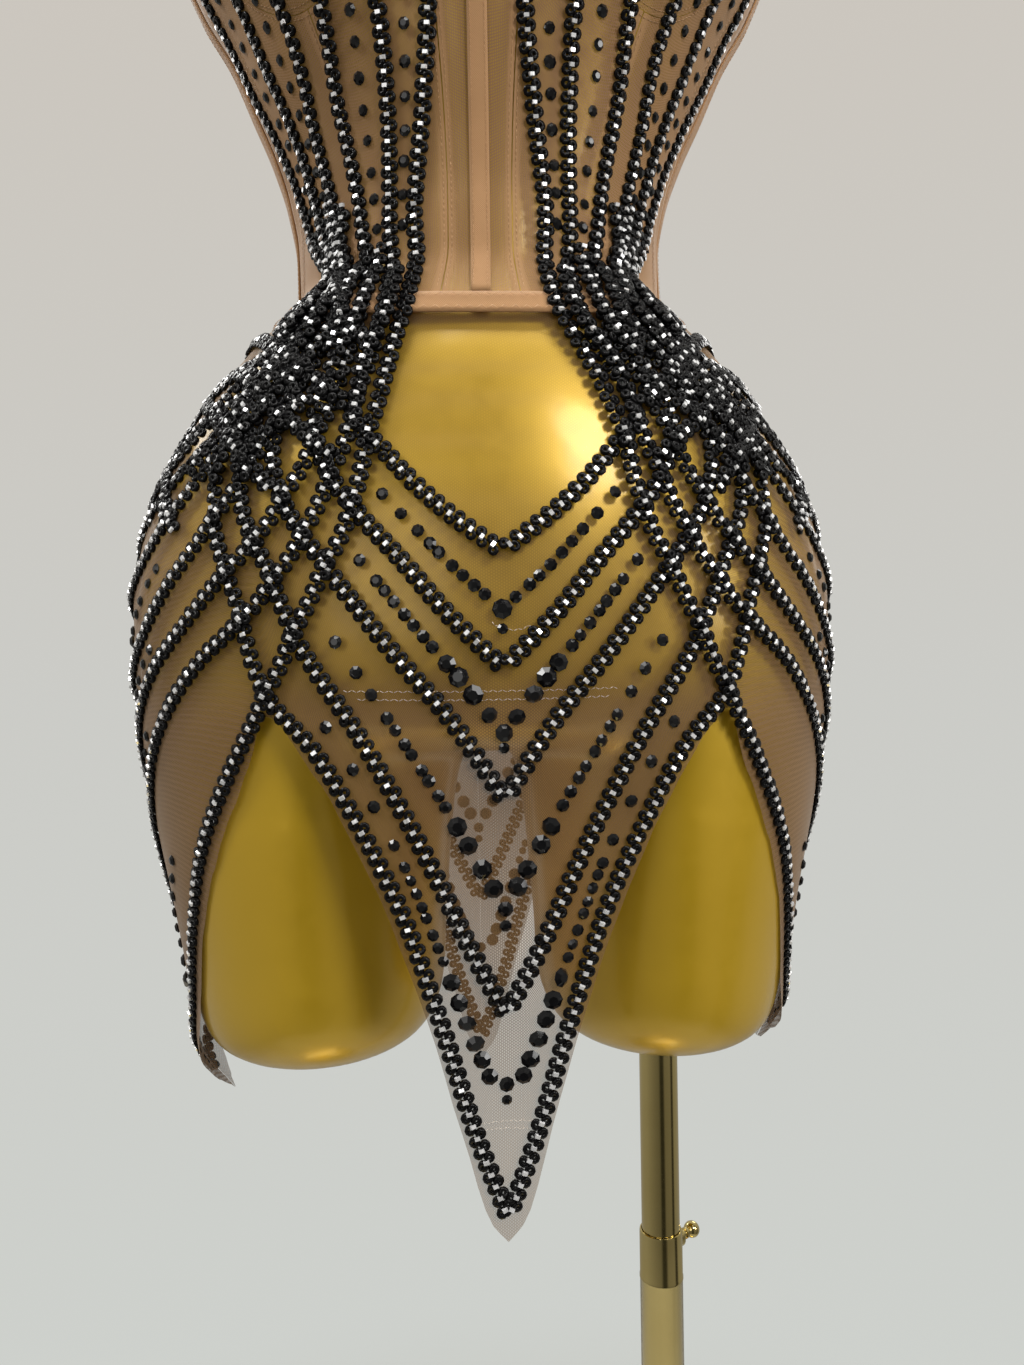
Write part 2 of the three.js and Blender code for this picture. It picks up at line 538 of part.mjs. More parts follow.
// The top of a bodice line ends below the tape of the neckline.
function endedBelowNeck(points, turned) {
  const [lastAngle] = points[points.length - 1];
  const end = neckAt(turned(lastAngle)) - NECK_TAPE_HEIGHT - 8;
  return [...points.slice(0, -1).filter(([, z]) => z < end - 8), [lastAngle, end]];
}
function braid() {
  const pieces = [];
  QUARTERS.forEach((turned, quarter) => {
    for (const points of FRONT_BRAIDS) pieces.push(braidStrip(points, turned, BRAID_STEP));
    for (const points of SIDE_BRAIDS) pieces.push(braidStrip(points, turned, BRAID_STEP, BRAID_CROSSING_RISE));
    const lines = quarter < 2 ? BODICE_BRAIDS : BODICE_BRAIDS.slice(0, BACK_BODICE_BRAIDS);
    for (const points of lines) pieces.push(braidStrip(endedBelowNeck(points, turned), turned, BRAID_STEP_BODICE));
    pieces.push(bundlePatch(turned));
  });
  add("braid", geometryFrom(wasm.Manifold.union(pieces)), JET);
}

stand();
dressForm();
bodice();
tapes();
skirt();
zip();
braid();

export default part;
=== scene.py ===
# A strapless mini dress of sheer stretch net, trimmed with beaded braid and stones, on a torso dress form.
# The part's own shape is repeated here as a smooth surface, and every piece is laid out on it.
import math

import bmesh
import bpy
import numpy as np
from mathutils import Matrix, Vector
from mathutils.kdtree import KDTree


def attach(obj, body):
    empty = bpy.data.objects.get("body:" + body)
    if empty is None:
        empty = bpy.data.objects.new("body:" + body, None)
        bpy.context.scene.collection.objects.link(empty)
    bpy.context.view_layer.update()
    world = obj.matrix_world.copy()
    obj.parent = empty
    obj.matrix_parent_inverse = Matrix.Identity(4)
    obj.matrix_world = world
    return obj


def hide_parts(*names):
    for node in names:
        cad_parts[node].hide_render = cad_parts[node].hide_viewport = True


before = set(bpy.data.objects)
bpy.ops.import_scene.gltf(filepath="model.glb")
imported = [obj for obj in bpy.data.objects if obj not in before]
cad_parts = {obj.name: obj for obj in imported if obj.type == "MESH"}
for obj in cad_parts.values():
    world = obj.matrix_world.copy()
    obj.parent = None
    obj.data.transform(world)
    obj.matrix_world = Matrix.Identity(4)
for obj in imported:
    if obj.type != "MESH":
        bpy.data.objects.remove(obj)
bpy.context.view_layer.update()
chance = np.random.default_rng(11)
MM = 0.001

# ---------- sizes, in millimetres ----------
SKIRT_TURN, BODICE_TURN = 1.1, -1.5  # degrees that each half sits turned on the form
NET_OUT = 0.6  # the net, out of the surface of the body
TAPE_IN, TAPE_OUT = 0.9, 1.9
TAPE_WIDTH, WAIST_TAPE, NECK_TAPE = 8.4, 9.5, 7.0
BRAID_PITCH = 5.4  # from one loop to the next on the same side
ROW_OFF = 1.78  # from the braid's middle to each row of loops
LOOP_RADIUS, LOOP_CORD = 1.48, 1.18
POLE_X, POLE_Y = 86.0, 4.0
CLAMP_Z = 606

# Height, half width, depth to the front, depth to the back.
SECTIONS = np.array([
    [665, 141, 94, 113], [745, 147, 99, 117], [795, 155, 103, 121], [842, 164, 106, 124], [891, 170.5, 109, 126],
    [915, 172, 109, 126], [940, 172, 108, 124], [964, 168.5, 106, 120], [989, 161, 103, 113], [1013, 149, 99, 105],
    [1038, 133, 93, 96], [1063, 112, 86, 88], [1075, 98, 82, 84], [1088, 88.5, 79, 81], [1112, 88, 79, 80],
    [1136, 91.5, 82, 81], [1159, 99, 87, 83], [1182, 109.5, 92, 86], [1207, 121, 96, 89], [1231, 135, 99, 91],
    [1265, 147, 98, 91], [1300, 149, 92, 90], [1340, 150, 85, 89], [1385, 153, 74, 86], [1412, 154, 66, 81],
    [1436, 145, 59, 74], [1450, 124, 55, 67], [1461, 96, 53, 61], [1473, 70, 51, 56], [1490, 57, 50, 52],
    [1520, 53, 49, 50], [1548, 51, 47, 49], [1560, 43, 40, 41]], float)
BUST_ANGLE, BUST_HEIGHT, BUST_FULLNESS, BUST_SPREAD, BUST_TALL = 34, 1245, 24, 25, 44
# Height, inner edge, outer edge, depth, how far the round end has closed.
THIGHS = np.array([
    [905, 6, 150, 84, 1], [880, 8, 163, 92, 1], [860, 14, 166, 90, 1], [835, 18, 163, 88, 1], [800, 21, 157, 84, 1],
    [766, 23, 151, 80, 1], [747, 23, 149, 79, 0.965], [734, 23, 148, 78, 0.88], [727, 23, 148, 78, 0.76],
    [723.5, 23, 148, 78, 0.58]], float)
THIGH_GAP = 4.0
# Height, and how far the form lies inside the cloth.
FORM_INSET = np.array([
    [870, 27], [877, 15], [887, 7], [899, 3.2], [917, 2.5], [1030, 2.5], [1046, 3.2], [1060, 4.6], [1073, 6.4],
    [1087, 8], [1102, 8.6], [1122, 8], [1148, 6], [1175, 4], [1203, 3.4], [1225, 3.2], [1247, 2.5],
    [1560, 2.5]], float)
HEM = np.array([
    [0, 668], [3, 677], [7, 711], [13, 767], [20, 822], [27, 862], [35, 888], [38, 870], [45, 841], [56, 799],
    [67, 752], [77, 722], [86, 704], [90, 700]], float)
NECKLINE = np.array([
    [0, 1258], [9, 1274], [20, 1312], [32, 1328], [45, 1326], [60, 1313], [76, 1300], [95, 1292], [120, 1288],
    [180, 1286]], float)

# Braids in one quarter, each a run of angle and height. V: the chevrons. S: the chevrons of the side.
V1 = [(0, 953), (6, 966), (12, 981), (17.2, 996), (23, 1011)]
V2 = [(0, 906), (7, 927), (13.5, 950), (20, 970), (26, 990), (30, 1011)]
V3 = [(0, 853), (7, 885), (14.5, 912), (24.4, 949), (30, 968), (35, 990), (37, 1010)]
V4 = [(0, 764), (5, 791), (10, 823), (15, 853), (20, 880), (28.5, 918), (34, 950), (40, 976), (43, 1010)]
V5 = [(0, 679), (5, 714), (10, 760), (15, 805), (20, 838), (27, 874), (34, 896), (39.5, 938), (46, 974), (48.5, 1010)]
S1 = [(90, 1028), (75, 1034), (60, 1042), (48, 1050)]
S2 = [(90, 985), (80, 992), (68, 1004), (58, 1020), (48, 1032)]
S3 = [(90, 935), (78, 946), (64.6, 966), (52.6, 992), (47, 1010)]
S4 = [(90, 890), (78, 906), (68.9, 920), (52, 954), (41.5, 986), (38, 1010)]
S5 = [(90, 846), (78, 876), (67, 898), (48.7, 932), (36, 962), (30, 990), (28, 1010)]
S6 = [(90, 790), (78, 838), (68.6, 864), (48.7, 908), (36.5, 931), (28.8, 958), (24.5, 988), (23, 1010)]
S7 = [(90, 709), (80, 731), (70, 760), (55, 820), (42, 866), (34, 896), (26.5, 935), (21, 970), (19.5, 1010)]
B1 = [(18, 1090), (18.4, 1108), (14.2, 1147), (10.4, 1182), (9.6, 1212), (13, 1246), (19, 1280)]
B2 = [(25.6, 1090), (26, 1112), (23.7, 1150), (21.2, 1185), (21.5, 1220), (24, 1260), (27, 1305)]
B3 = [(34, 1090), (37, 1116), (38.5, 1155), (34, 1190), (33, 1225), (33.5, 1265), (35, 1315)]
B4 = [(42, 1090), (47, 1112), (50, 1146), (46, 1180), (44.5, 1210), (43.5, 1250), (43, 1312)]
B5 = [(48, 1090), (55, 1112), (59, 1142), (60, 1175), (58, 1210), (55, 1250), (52, 1306)]
B6 = [(52, 1090), (61, 1107), (68, 1134), (73, 1165), (75, 1200), (70, 1240), (63, 1298)]
# Through the knot at the waist: the braid below, its way through, the braid above or None, and its layer.
KNOT = [
    (S7, [(17.6, 1040), (16, 1062)], B1, 0), (V1, [(21.5, 1038), (21, 1062)], B2, 0),
    (S6, [(22.5, 1036), (19.5, 1060), (22, 1082)], None, 1), (S5, [(26.5, 1038), (26.5, 1062)], B3, 0),
    (V2, [(28.6, 1036), (26.2, 1060), (29.5, 1094)], None, 1), (V3, [(33.5, 1038), (32, 1062)], B4, 0),
    (S4, [(35.5, 1036), (31.5, 1060), (36.5, 1086)], None, 1), (V4, [(39.5, 1036), (37.5, 1062)], B5, 0),
    (S3, [(43.2, 1036), (38.6, 1062), (43, 1098)], None, 1), (V5, [(44.6, 1038), (43, 1062)], B6, 0),
    (S2, [(44.5, 1050), (45, 1070), (49.5, 1096)], None, 1), (S1, [(44, 1058), (41, 1072)], None, 2),
]
# More braid on the hip, each a run of angle, height and lift, from the side towards the knot.
HIP_STRANDS = [
    [(90, 1000, 0), (85, 1010, 0), (79, 1028, 0), (69, 1041, 0.4), (58, 1042, 0.8), (50, 1034, 1.2), (44, 1020, 0.8)],
    [(90, 962, 0), (79, 974, 0), (66, 988, 0), (55, 1006, 0.4), (45, 1026, 1.6), (37, 1046, 3.0)],
    [(90, 1062, 0), (78, 1063, 0), (67, 1062, 0.4), (56, 1057, 1.0), (46, 1048, 2.0), (39, 1034, 1.8), (33, 1016, 0.8)],
    [(90, 1045, 0), (76, 1037, 0.4), (62, 1026, 0.6), (49, 1010, 1.0), (41, 996, 0.8), (34, 980, 0.2)],
    [(56, 1044, 1.0), (48, 1034, 1.6), (39, 1018, 1.6), (30, 1004, 1.2), (24, 992, 0.4)],
    [(46, 1050, 2.6), (39, 1041, 2.8), (31, 1028, 2.2), (23, 1014, 1.0)],
    [(90, 1016, 0), (80, 1006, 0), (70, 996, 0), (62, 982, 0), (55, 966, 0)],
    [(90, 1034, 0), (82, 1028, 0), (75, 1012, 0), (70, 1000, 0), (64, 984, 0), (60, 968, 0)],
    [(42, 1064, 2.6), (48, 1044, 2.0), (57, 1026, 1.4), (69, 1006, 0.4), (80, 984, 0)],
    [(38, 1052, 3.4), (45, 1034, 2.6), (51, 1014, 1.4), (57, 992, 0.4)],
    [(34, 1040, 3.2), (40, 1024, 2.4), (46, 1006, 1.2), (48, 986, 0.4)],
    [(26, 1032, 2.2), (33, 1018, 2.0), (40, 1004, 1.2), (44, 990, 0.4)],
    [(22, 1044, 1.4), (28, 1054, 2.6), (34, 1070, 3.2), (33, 1092, 1.6)],
    [(40, 1040, 2.6), (36, 1056, 4.0), (38, 1076, 3.4), (46, 1100, 1.2), (51, 1122, 0.2)],
    [(30, 1040, 2.6), (30, 1060, 3.6), (40, 1078, 3.4), (47, 1094, 1.6), (54, 1104, 0.4)],
    [(46, 1046, 1.6), (49, 1062, 2.0), (48, 1078, 2.0), (44, 1096, 1.4), (42, 1118, 0.4)],
]
PANELS = {"front": (9, 38), "side_front": (38, 71), "side": (71, 110), "back": (110, 180)}
ZIP_HALF, ZIP_BOTTOM = 12.0, 978.0


# ---------- the shape of the body ----------
def smooth(low, high, v):
    t = np.clip((np.asarray(v, float) - low) / (high - low), 0, 1)
    return t * t * (3 - 2 * t)


def curve_through(at, value):
    """A smooth curve through the rows of a table that never overshoots them."""
    slope = np.diff(value) / np.diff(at)
    tangent = np.zeros(len(at))
    tangent[0], tangent[-1] = slope[0], slope[-1]
    before, after = slope[:-1], slope[1:]
    both = np.where(before * after > 0, before + after, 1)
    tangent[1:-1] = np.where(before * after > 0, 2 * before * after / both, 0)

    def read(v):
        x = np.clip(v, at[0], at[-1])
        i = np.clip(np.searchsorted(at, x) - 1, 0, len(at) - 2)
        h = at[i + 1] - at[i]
        t = (x - at[i]) / h
        u = 1 - t
        return (value[i] * (1 + 2 * t) * u * u + h * tangent[i] * t * u * u
                + value[i + 1] * t * t * (3 - 2 * t) - h * tangent[i + 1] * t * t * u)
    return read


half_at, front_at, back_at = (curve_through(SECTIONS[:, 0], SECTIONS[:, c]) for c in (1, 2, 3))
hem_curve = curve_through(HEM[:, 0], HEM[:, 1])
neck_curve = curve_through(NECKLINE[:, 0], NECKLINE[:, 1])


def wrapped(angle):
    return (np.asarray(angle, float) + 180) % 360 - 180


def bust_at(angle, z):
    lift = np.exp(-((z - BUST_HEIGHT) / BUST_TALL) ** 2)
    sides = sum(np.exp(-((angle - side * BUST_ANGLE) / BUST_SPREAD) ** 2) for side in (1, -1))
    return BUST_FULLNESS * lift * sides


def body_point(angle, z, out, bust_share=1.0):
    """A point in metres at an angle round the body, a height and a distance out of it."""
    angle, z = np.broadcast_arrays(wrapped(angle), np.asarray(z, float))
    s, c = np.sin(np.radians(angle)), np.cos(np.radians(angle))
    half = half_at(z)
    depth = np.where(c > 0, front_at(z), back_at(z))
    nx, ny = s / half, -c / depth
    size = np.hypot(nx, ny)
    reach = out + bust_share * bust_at(angle, z)
    return np.stack([half * s + reach * nx / size, -depth * c + reach * ny / size, z], -1) * MM


def turn_at(z):
    return SKIRT_TURN + (BODICE_TURN - SKIRT_TURN) * smooth(1010, 1075, z)


def fold(angle, z, at_angle, at_z, wide, tall, deep, lean=0.0):
    """One soft ridge, or a trough where deep is negative."""
    da = wrapped(angle - at_angle - lean * (z - at_z))
    return deep * np.exp(-(da / wide) ** 2 - ((z - at_z) / tall) ** 2)


# Angle, height, how wide in degrees, how tall, how deep, and how far it leans where it does.
CREASES = [
    (-90, 1125, 26, 46, 2.2), (4, 1041, 15, 2.4, 1.5), (-6, 1034, 13, 2.2, -1.5), (6, 1028, 17, 2.2, 1.5),
    (-3, 1020, 15, 2.4, -1.3), (9, 1013, 12, 2.2, 1.6), (-9, 1003, 11, 2.6, -1.2),
    (12, 999, 9, 2.4, 1.4), (-13, 985, 8, 2.6, 0.9), (-4, 994, 10, 2.0, 1.5), (3, 978, 10, 2.6, -1.0),
    (79, 1170, 1.5, 70, 1.1, 0.02), (83.5, 1150, 1.2, 62, -1.0, 0.02), (88.5, 1180, 1.6, 66, 1.2, -0.01),
    (94, 1160, 1.6, 70, 1.0, -0.03), (99, 1150, 1.5, 58, -1.0, -0.03), (105, 1170, 1.8, 62, 1.0, -0.04),
    (-78, 1160, 1.4, 66, 1.1, -0.02), (-83, 1175, 1.4, 60, -1.0, -0.02), (-89, 1150, 1.7, 64, 1.2, 0.01),
    (-95, 1170, 1.5, 66, -1.0, 0.03), (-101, 1165, 1.7, 60, 1.1, 0.03), (-106, 1140, 1.5, 50, -0.8, 0.04),
    (168, 1040, 10, 4.0, 1.0), (-166, 1030, 11, 4.4, 1.0), (160, 1022, 9, 3.6, -0.8),
    (-158, 1014, 9, 4.0, 0.7), (150, 1004, 9, 4.2, 0.8), (128, 1180, 3.2, 50, 0.9, 0.1),
    (-126, 1170, 3.0, 46, 0.9, -0.1), (140, 1130, 3.6, 26, -0.8, 0.2), (-138, 1135, 3.4, 28, -0.8, -0.2),
    (0, 742, 5.5, 44, -2.4), (9, 800, 4.4, 30, 1.6, 0.05), (-9.5, 792, 4.2, 34, 1.4, -0.05),
    (180, 744, 5.5, 44, -2.2), (171, 800, 4.4, 30, 1.5, -0.05), (-171, 792, 4.6, 34, 1.5, 0.05),
    (89, 742, 7, 40, 2.2), (-91, 748, 6, 44, 2.4), (83, 716, 4, 16, -2.0), (-84, 722, 4, 14, -1.6),
    (-92, 692, 22, 19, -18.0), (93, 696, 20, 15, -9.0),
    (-88, 1068, 1.0, 6, 0.8), (-84.6, 1067, 0.9, 6, -0.5), (-81, 1067, 1.1, 6, 0.8),
    (88, 1068, 1.0, 6, 0.8), (84.8, 1067, 0.9, 6, -0.5), (81, 1067, 1.0, 6, 0.7),
]


def drape(angle, z):
    """How far the creases lift the cloth off its plain form."""
    angle, z = np.broadcast_arrays(np.asarray(angle, float), np.asarray(z, float))
    lift = np.zeros(angle.shape)
    for crease in CREASES:
        lift = lift + fold(angle, z, *crease)
    tug = np.sin(np.radians(angle * 7 + 20 * np.sin(z / 31))) * np.sin(z / 17 + np.radians(angle * 3))
    return lift + 0.22 * tug


def caught_up(angle, z):
    """The right side point has ridden up a little on the thigh."""
    return 14 * smooth(62, 88, wrapped(angle)) * (1 - smooth(92, 118, wrapped(angle))) * (1 - smooth(706, 790, z))


def cloth_point(angle, z, out):
    return body_point(angle + turn_at(z), z + caught_up(angle, z), out + drape(angle, z))


def quarter_of(angle):
    a = np.abs(wrapped(angle))
    return np.where(a > 90, 180 - a, a)


def waist_at(angle):
    return 1056 + 16 * np.sin(np.radians(angle)) ** 2


def neck_at(angle):
    return neck_curve(np.abs(wrapped(angle)))


def wire_at(angle):
    return 1190 + 62 * ((np.abs(wrapped(angle)) - 39) / 31) ** 2


def hem_at(angle):
    ragged = 0.5 * np.sin(np.radians(angle * 53)) + 0.35 * np.sin(np.radians(angle * 97 + 40))
    return hem_curve(quarter_of(angle)) + ragged * smooth(1, 4, quarter_of(angle))


def over_tape(angle, z):
    waist = waist_at(angle)
    return smooth(waist - 14, waist - 3, z) * (1 - smooth(waist + 12, waist + 24, z))


# ---------- finishes ----------
SMOOTH_STEP = [("interpolation_type", "SMOOTHSTEP")]


def shader(name, **values):
    finish = bpy.data.materials.new(name)
    finish.use_nodes = True
    nodes = finish.node_tree.nodes
    surface = nodes["Principled BSDF"]
    for key, value in values.items():
        surface.inputs[key.replace("_", " ")].default_value = value
    return finish, finish.node_tree, surface


def link(tree, source, target):
    tree.links.new(source, target)


def feed(tree, socket, value):
    """Links another node's output to a socket, or sets the socket's own value."""
    if isinstance(value, bpy.types.NodeSocket):
        tree.links.new(value, socket)
    else:
        socket.default_value = value


def node(tree, kind, settings=(), **inputs):
    """i0, i1 and so on are inputs by number; other names are the inputs' own, with _ for a space."""
    made = tree.nodes.new(kind)
    for key, value in settings:
        setattr(made, key, value)
    for key, value in inputs.items():
        numbered = key[0] == "i" and key[1:].isdigit()
        feed(tree, made.inputs[int(key[1:]) if numbered else key.replace("_", " ")], value)
    return made


def maths(tree, operation, *values):
    made = tree.nodes.new("ShaderNodeMath")
    made.operation = operation
    for socket, value in zip(made.inputs, values):
        feed(tree, socket, value)
    return made.outputs[0]


def blend_colours(tree, share, first, second):
    made = tree.nodes.new("ShaderNodeMix")
    made.data_type = "RGBA"
    for key, value in (("Factor", share), ("A", (*first, 1)), ("B", (*second, 1))):
        feed(tree, next(s for s in made.inputs if s.name == key and s.enabled), value)
    return next(s for s in made.outputs if s.enabled)


def ranged(tree, value, low, high, at_low, at_high, settings=()):
    """The value carried from the range low to high into the range at_low to at_high."""
    return node(tree, "ShaderNodeMapRange", settings, Value=value, From_Min=low, From_Max=high, To_Min=at_low,
                To_Max=at_high).outputs["Result"]


def effect(name, inputs, outputs):
    group = bpy.data.node_groups.new(name, "ShaderNodeTree")
    for label, kind, value in inputs:
        socket = group.interface.new_socket(label, in_out="INPUT", socket_type=kind)
        if value is not None:
            socket.default_value = value
    for label, kind in outputs:
        group.interface.new_socket(label, in_out="OUTPUT", socket_type=kind)
    return group, group.nodes.new("NodeGroupInput"), group.nodes.new("NodeGroupOutput")


def net_effect():
    """Six-sided openings between fine threads, from a flat map in metres."""
    group, given, result = effect(
        "net openings", [("Map", "NodeSocketVector", None), ("Pitch", "NodeSocketFloat", 0.001)],
        [("Threads", "NodeSocketFloat")])
    parts = node(group, "ShaderNodeSeparateXYZ", Vector=given.outputs["Map"])
    turns = maths(group, "DIVIDE", 2 * math.pi, given.outputs["Pitch"])
    along = maths(group, "MULTIPLY", parts.outputs["X"], turns)
    up = maths(group, "MULTIPLY", parts.outputs["Y"], turns)
    half = maths(group, "MULTIPLY", along, 0.5)
    rise = maths(group, "MULTIPLY", up, 0.866)
    leaning = [maths(group, "COSINE", maths(group, way, half, rise)) for way in ("ADD", "SUBTRACT")]
    waves = maths(group, "ADD", maths(group, "COSINE", along), maths(group, "ADD", *leaning))
    link(group, ranged(group, waves, 1.4, -0.6, 0.0, 1.0, SMOOTH_STEP), result.inputs["Threads"])
    return group


def cloud_effect():
    """Soft uneven patches, for handling marks, dye and lacquer."""
    group, given, result = effect(
        "soft patches", [("Place", "NodeSocketVector", None), ("Size", "NodeSocketFloat", 20.0)],
        [("Patches", "NodeSocketFloat"), ("Fine", "NodeSocketFloat")])
    broad = node(group, "ShaderNodeTexNoise", Vector=given.outputs["Place"], Scale=given.outputs["Size"], Detail=3.0,
                 Roughness=0.55)
    close = maths(group, "MULTIPLY", given.outputs["Size"], 14.0)
    fine = node(group, "ShaderNodeTexNoise", Vector=given.outputs["Place"], Scale=close, Detail=4.0, Roughness=0.6)
    link(group, broad.outputs["Fac"], result.inputs["Patches"])
    link(group, fine.outputs["Fac"], result.inputs["Fine"])
    return group


def weave_effect():
    """A close plain weave from a flat map in metres."""
    group, given, result = effect(
        "close weave", [("Map", "NodeSocketVector", None), ("Pitch", "NodeSocketFloat", 0.0006)],
        [("Height", "NodeSocketFloat")])
    parts = node(group, "ShaderNodeSeparateXYZ", Vector=given.outputs["Map"])
    turns = maths(group, "DIVIDE", 2 * math.pi, given.outputs["Pitch"])
    across = maths(group, "SINE", maths(group, "MULTIPLY", parts.outputs["X"], turns))
    up = maths(group, "SINE", maths(group, "MULTIPLY", parts.outputs["Y"], turns))
    link(group, maths(group, "MULTIPLY_ADD", maths(group, "MULTIPLY", across, up), 0.5, 0.5), result.inputs["Height"])
    return group


NET_GROUP, CLOUD_GROUP, WEAVE_GROUP = net_effect(), cloud_effect(), weave_effect()


def placed(tree, group, **inputs):
    made = tree.nodes.new("ShaderNodeGroup")
    made.node_tree = group
    for key, value in inputs.items():
        feed(tree, made.inputs[key], value)
    return made


def object_place(tree):
    return tree.nodes.new("ShaderNodeTexCoord").outputs["Object"]


def cloth_map(tree):
    return node(tree, "ShaderNodeUVMap", [("uv_map", "cloth")]).outputs["UV"]


def clouds(tree, size):
    return placed(tree, CLOUD_GROUP, Place=object_place(tree), Size=size).outputs


def raised(tree, surface, height, strength, distance):
    bump = node(tree, "ShaderNodeBump", Strength=strength, Distance=distance, Height=height)
    link(tree, bump.outputs["Normal"], surface.inputs["Normal"])


def sheer_net(name, tint, dark, thin, dense, loose=1.0, upper=1.0, plain=1.0):
    """Stretch net: thin is the cover of an opening, dense that of a thread, loose, upper and plain the shares
    left of it at the free points of the skirt, above the row of stitches, and in the plain part under the waist."""
    finish, tree, surface = shader(name, Roughness=0.62, Sheen_Weight=0.25, Sheen_Roughness=0.4,
                                   Specular_IOR_Level=0.35)
    threads = placed(tree, NET_GROUP, Map=cloth_map(tree), Pitch=0.00105).outputs["Threads"]
    seam = node(tree, "ShaderNodeAttribute", [("attribute_name", "seam")]).outputs["Fac"]
    link(tree, blend_colours(tree, clouds(tree, 16.0)["Patches"], dark, tint), surface.inputs["Base Color"])
    cover = ranged(tree, threads, 0.0, 1.0, thin, dense)
    height = node(tree, "ShaderNodeSeparateXYZ", Vector=object_place(tree)).outputs["Z"]
    for zone in ((0.72, 0.82, loose, 1.0), (0.885, 0.905, 1.0, upper), (0.955, 0.99, 1.0, plain)):
        cover = maths(tree, "MULTIPLY", cover, ranged(tree, height, *zone))
    # Seen at a slant, more thread stands in the way.
    facing = maths(tree, "SUBTRACT", 1.0, tree.nodes.new("ShaderNodeLayerWeight").outputs["Facing"])
    slant = maths(tree, "DIVIDE", 1.0, maths(tree, "MAXIMUM", facing, 0.16))
    cover = maths(tree, "SUBTRACT", 1.0, maths(tree, "POWER", maths(tree, "SUBTRACT", 1.0, cover), slant))
    doubled = maths(tree, "MULTIPLY", seam, maths(tree, "SUBTRACT", 0.88, cover))
    link(tree, maths(tree, "ADD", cover, doubled), surface.inputs["Alpha"])
    raised(tree, surface, threads, 0.25, 0.0002)
    return finish


def tape_finish(name, tint, dark):
    finish, tree, surface = shader(name, Roughness=0.72, Sheen_Weight=0.3, Sheen_Roughness=0.5,
                                   Specular_IOR_Level=0.3)
    weave = placed(tree, WEAVE_GROUP, Map=cloth_map(tree), Pitch=0.0009).outputs["Height"]
    share = maths(tree, "MULTIPLY_ADD", weave, 0.5, maths(tree, "MULTIPLY", clouds(tree, 60.0)["Patches"], 0.5))
    link(tree, blend_colours(tree, share, dark, tint), surface.inputs["Base Color"])
    raised(tree, surface, weave, 0.5, 0.0003)
    return finish


def lacquer_finish():
    """Gold lacquer on the form, with faint patches and a fine orange peel."""
    finish, tree, surface = shader("gold lacquer", Metallic=0.42, Coat_Weight=0.7, Coat_Roughness=0.16, Coat_IOR=1.42)
    cloud = clouds(tree, 9.0)
    link(tree, blend_colours(tree, cloud["Patches"], (0.56, 0.345, 0.012), (0.66, 0.42, 0.022)),
         surface.inputs["Base Color"])
    link(tree, ranged(tree, cloud["Fine"], 0.3, 0.7, 0.33, 0.42), surface.inputs["Roughness"])
    raised(tree, surface, cloud["Fine"], 0.05, 0.0006)
    return finish


def metal_finish(name, bright, dull, rough_low, rough_high, size=30.0):
    finish, tree, surface = shader(name, Metallic=1.0)
    cloud = clouds(tree, size)
    link(tree, blend_colours(tree, cloud["Patches"], dull, bright), surface.inputs["Base Color"])
    link(tree, ranged(tree, cloud["Fine"], 0.35, 0.65, rough_low, rough_high), surface.inputs["Roughness"])
    return finish


def gem_finish(name, bright, dark, rough, metallic=0.0, gloss=0.5):
    finish, tree, surface = shader(name, Metallic=metallic, Specular_IOR_Level=gloss)
    cloud = clouds(tree, 420.0)
    link(tree, blend_colours(tree, cloud["Patches"], dark, bright), surface.inputs["Base Color"])
    link(tree, ranged(tree, cloud["Patches"], 0.3, 0.7, rough * 0.7, rough * 1.5), surface.inputs["Roughness"])
    return finish


def floor_finish():
    """Pale floor that fades out, so that no edge of it shows."""
    finish, tree, surface = shader("pale floor", Roughness=0.8, Specular_IOR_Level=0.2)
    link(tree, blend_colours(tree, clouds(tree, 3.0)["Patches"], (0.37, 0.37, 0.35), (0.40, 0.40, 0.38)),
         surface.inputs["Base Color"])
    away = node(tree, "ShaderNodeVectorMath", [("operation", "LENGTH")], i0=object_place(tree)).outputs["Value"]
    link(tree, ranged(tree, away, 0.35, 0.95, 1.0, 0.0, SMOOTH_STEP), surface.inputs["Alpha"])
    return finish


SKIRT_NET = sheer_net("skirt net", (0.28, 0.155, 0.06), (0.17, 0.095, 0.04), 0.38, 0.66, 0.85, 0.56, 0.55)
BACK_NET = sheer_net("skirt back net", (0.27, 0.165, 0.09), (0.18, 0.11, 0.06), 0.56, 0.80, 0.50, 0.60)
BODICE_NET = sheer_net("bodice net", (0.44, 0.24, 0.105), (0.34, 0.185, 0.078), 0.34, 0.60)
TAPE = tape_finish("woven tape", (0.48, 0.262, 0.115), (0.38, 0.20, 0.082))
THREAD = tape_finish("sewing thread", (0.62, 0.37, 0.19), (0.40, 0.22, 0.10))
PALE_THREAD = tape_finish("pale thread", (0.86, 0.78, 0.68), (0.70, 0.60, 0.50))
LACQUER = lacquer_finish()
BRASS = metal_finish("polished brass", (0.62, 0.50, 0.22), (0.50, 0.39, 0.15), 0.08, 0.15)
ZIP_METAL = metal_finish("zip brass", (0.66, 0.47, 0.20), (0.42, 0.28, 0.10), 0.2, 0.36, 200.0)
JET = gem_finish("jet beads", (0.007, 0.0065, 0.007), (0.003, 0.003, 0.0035), 0.14, gloss=0.12)
JET_STONE = gem_finish("jet stones", (0.007, 0.007, 0.008), (0.003, 0.003, 0.0035), 0.09, gloss=0.36)
CRYSTAL = gem_finish("silver crystals", (0.97, 0.97, 0.98), (0.74, 0.74, 0.76), 0.22, metallic=0.45)
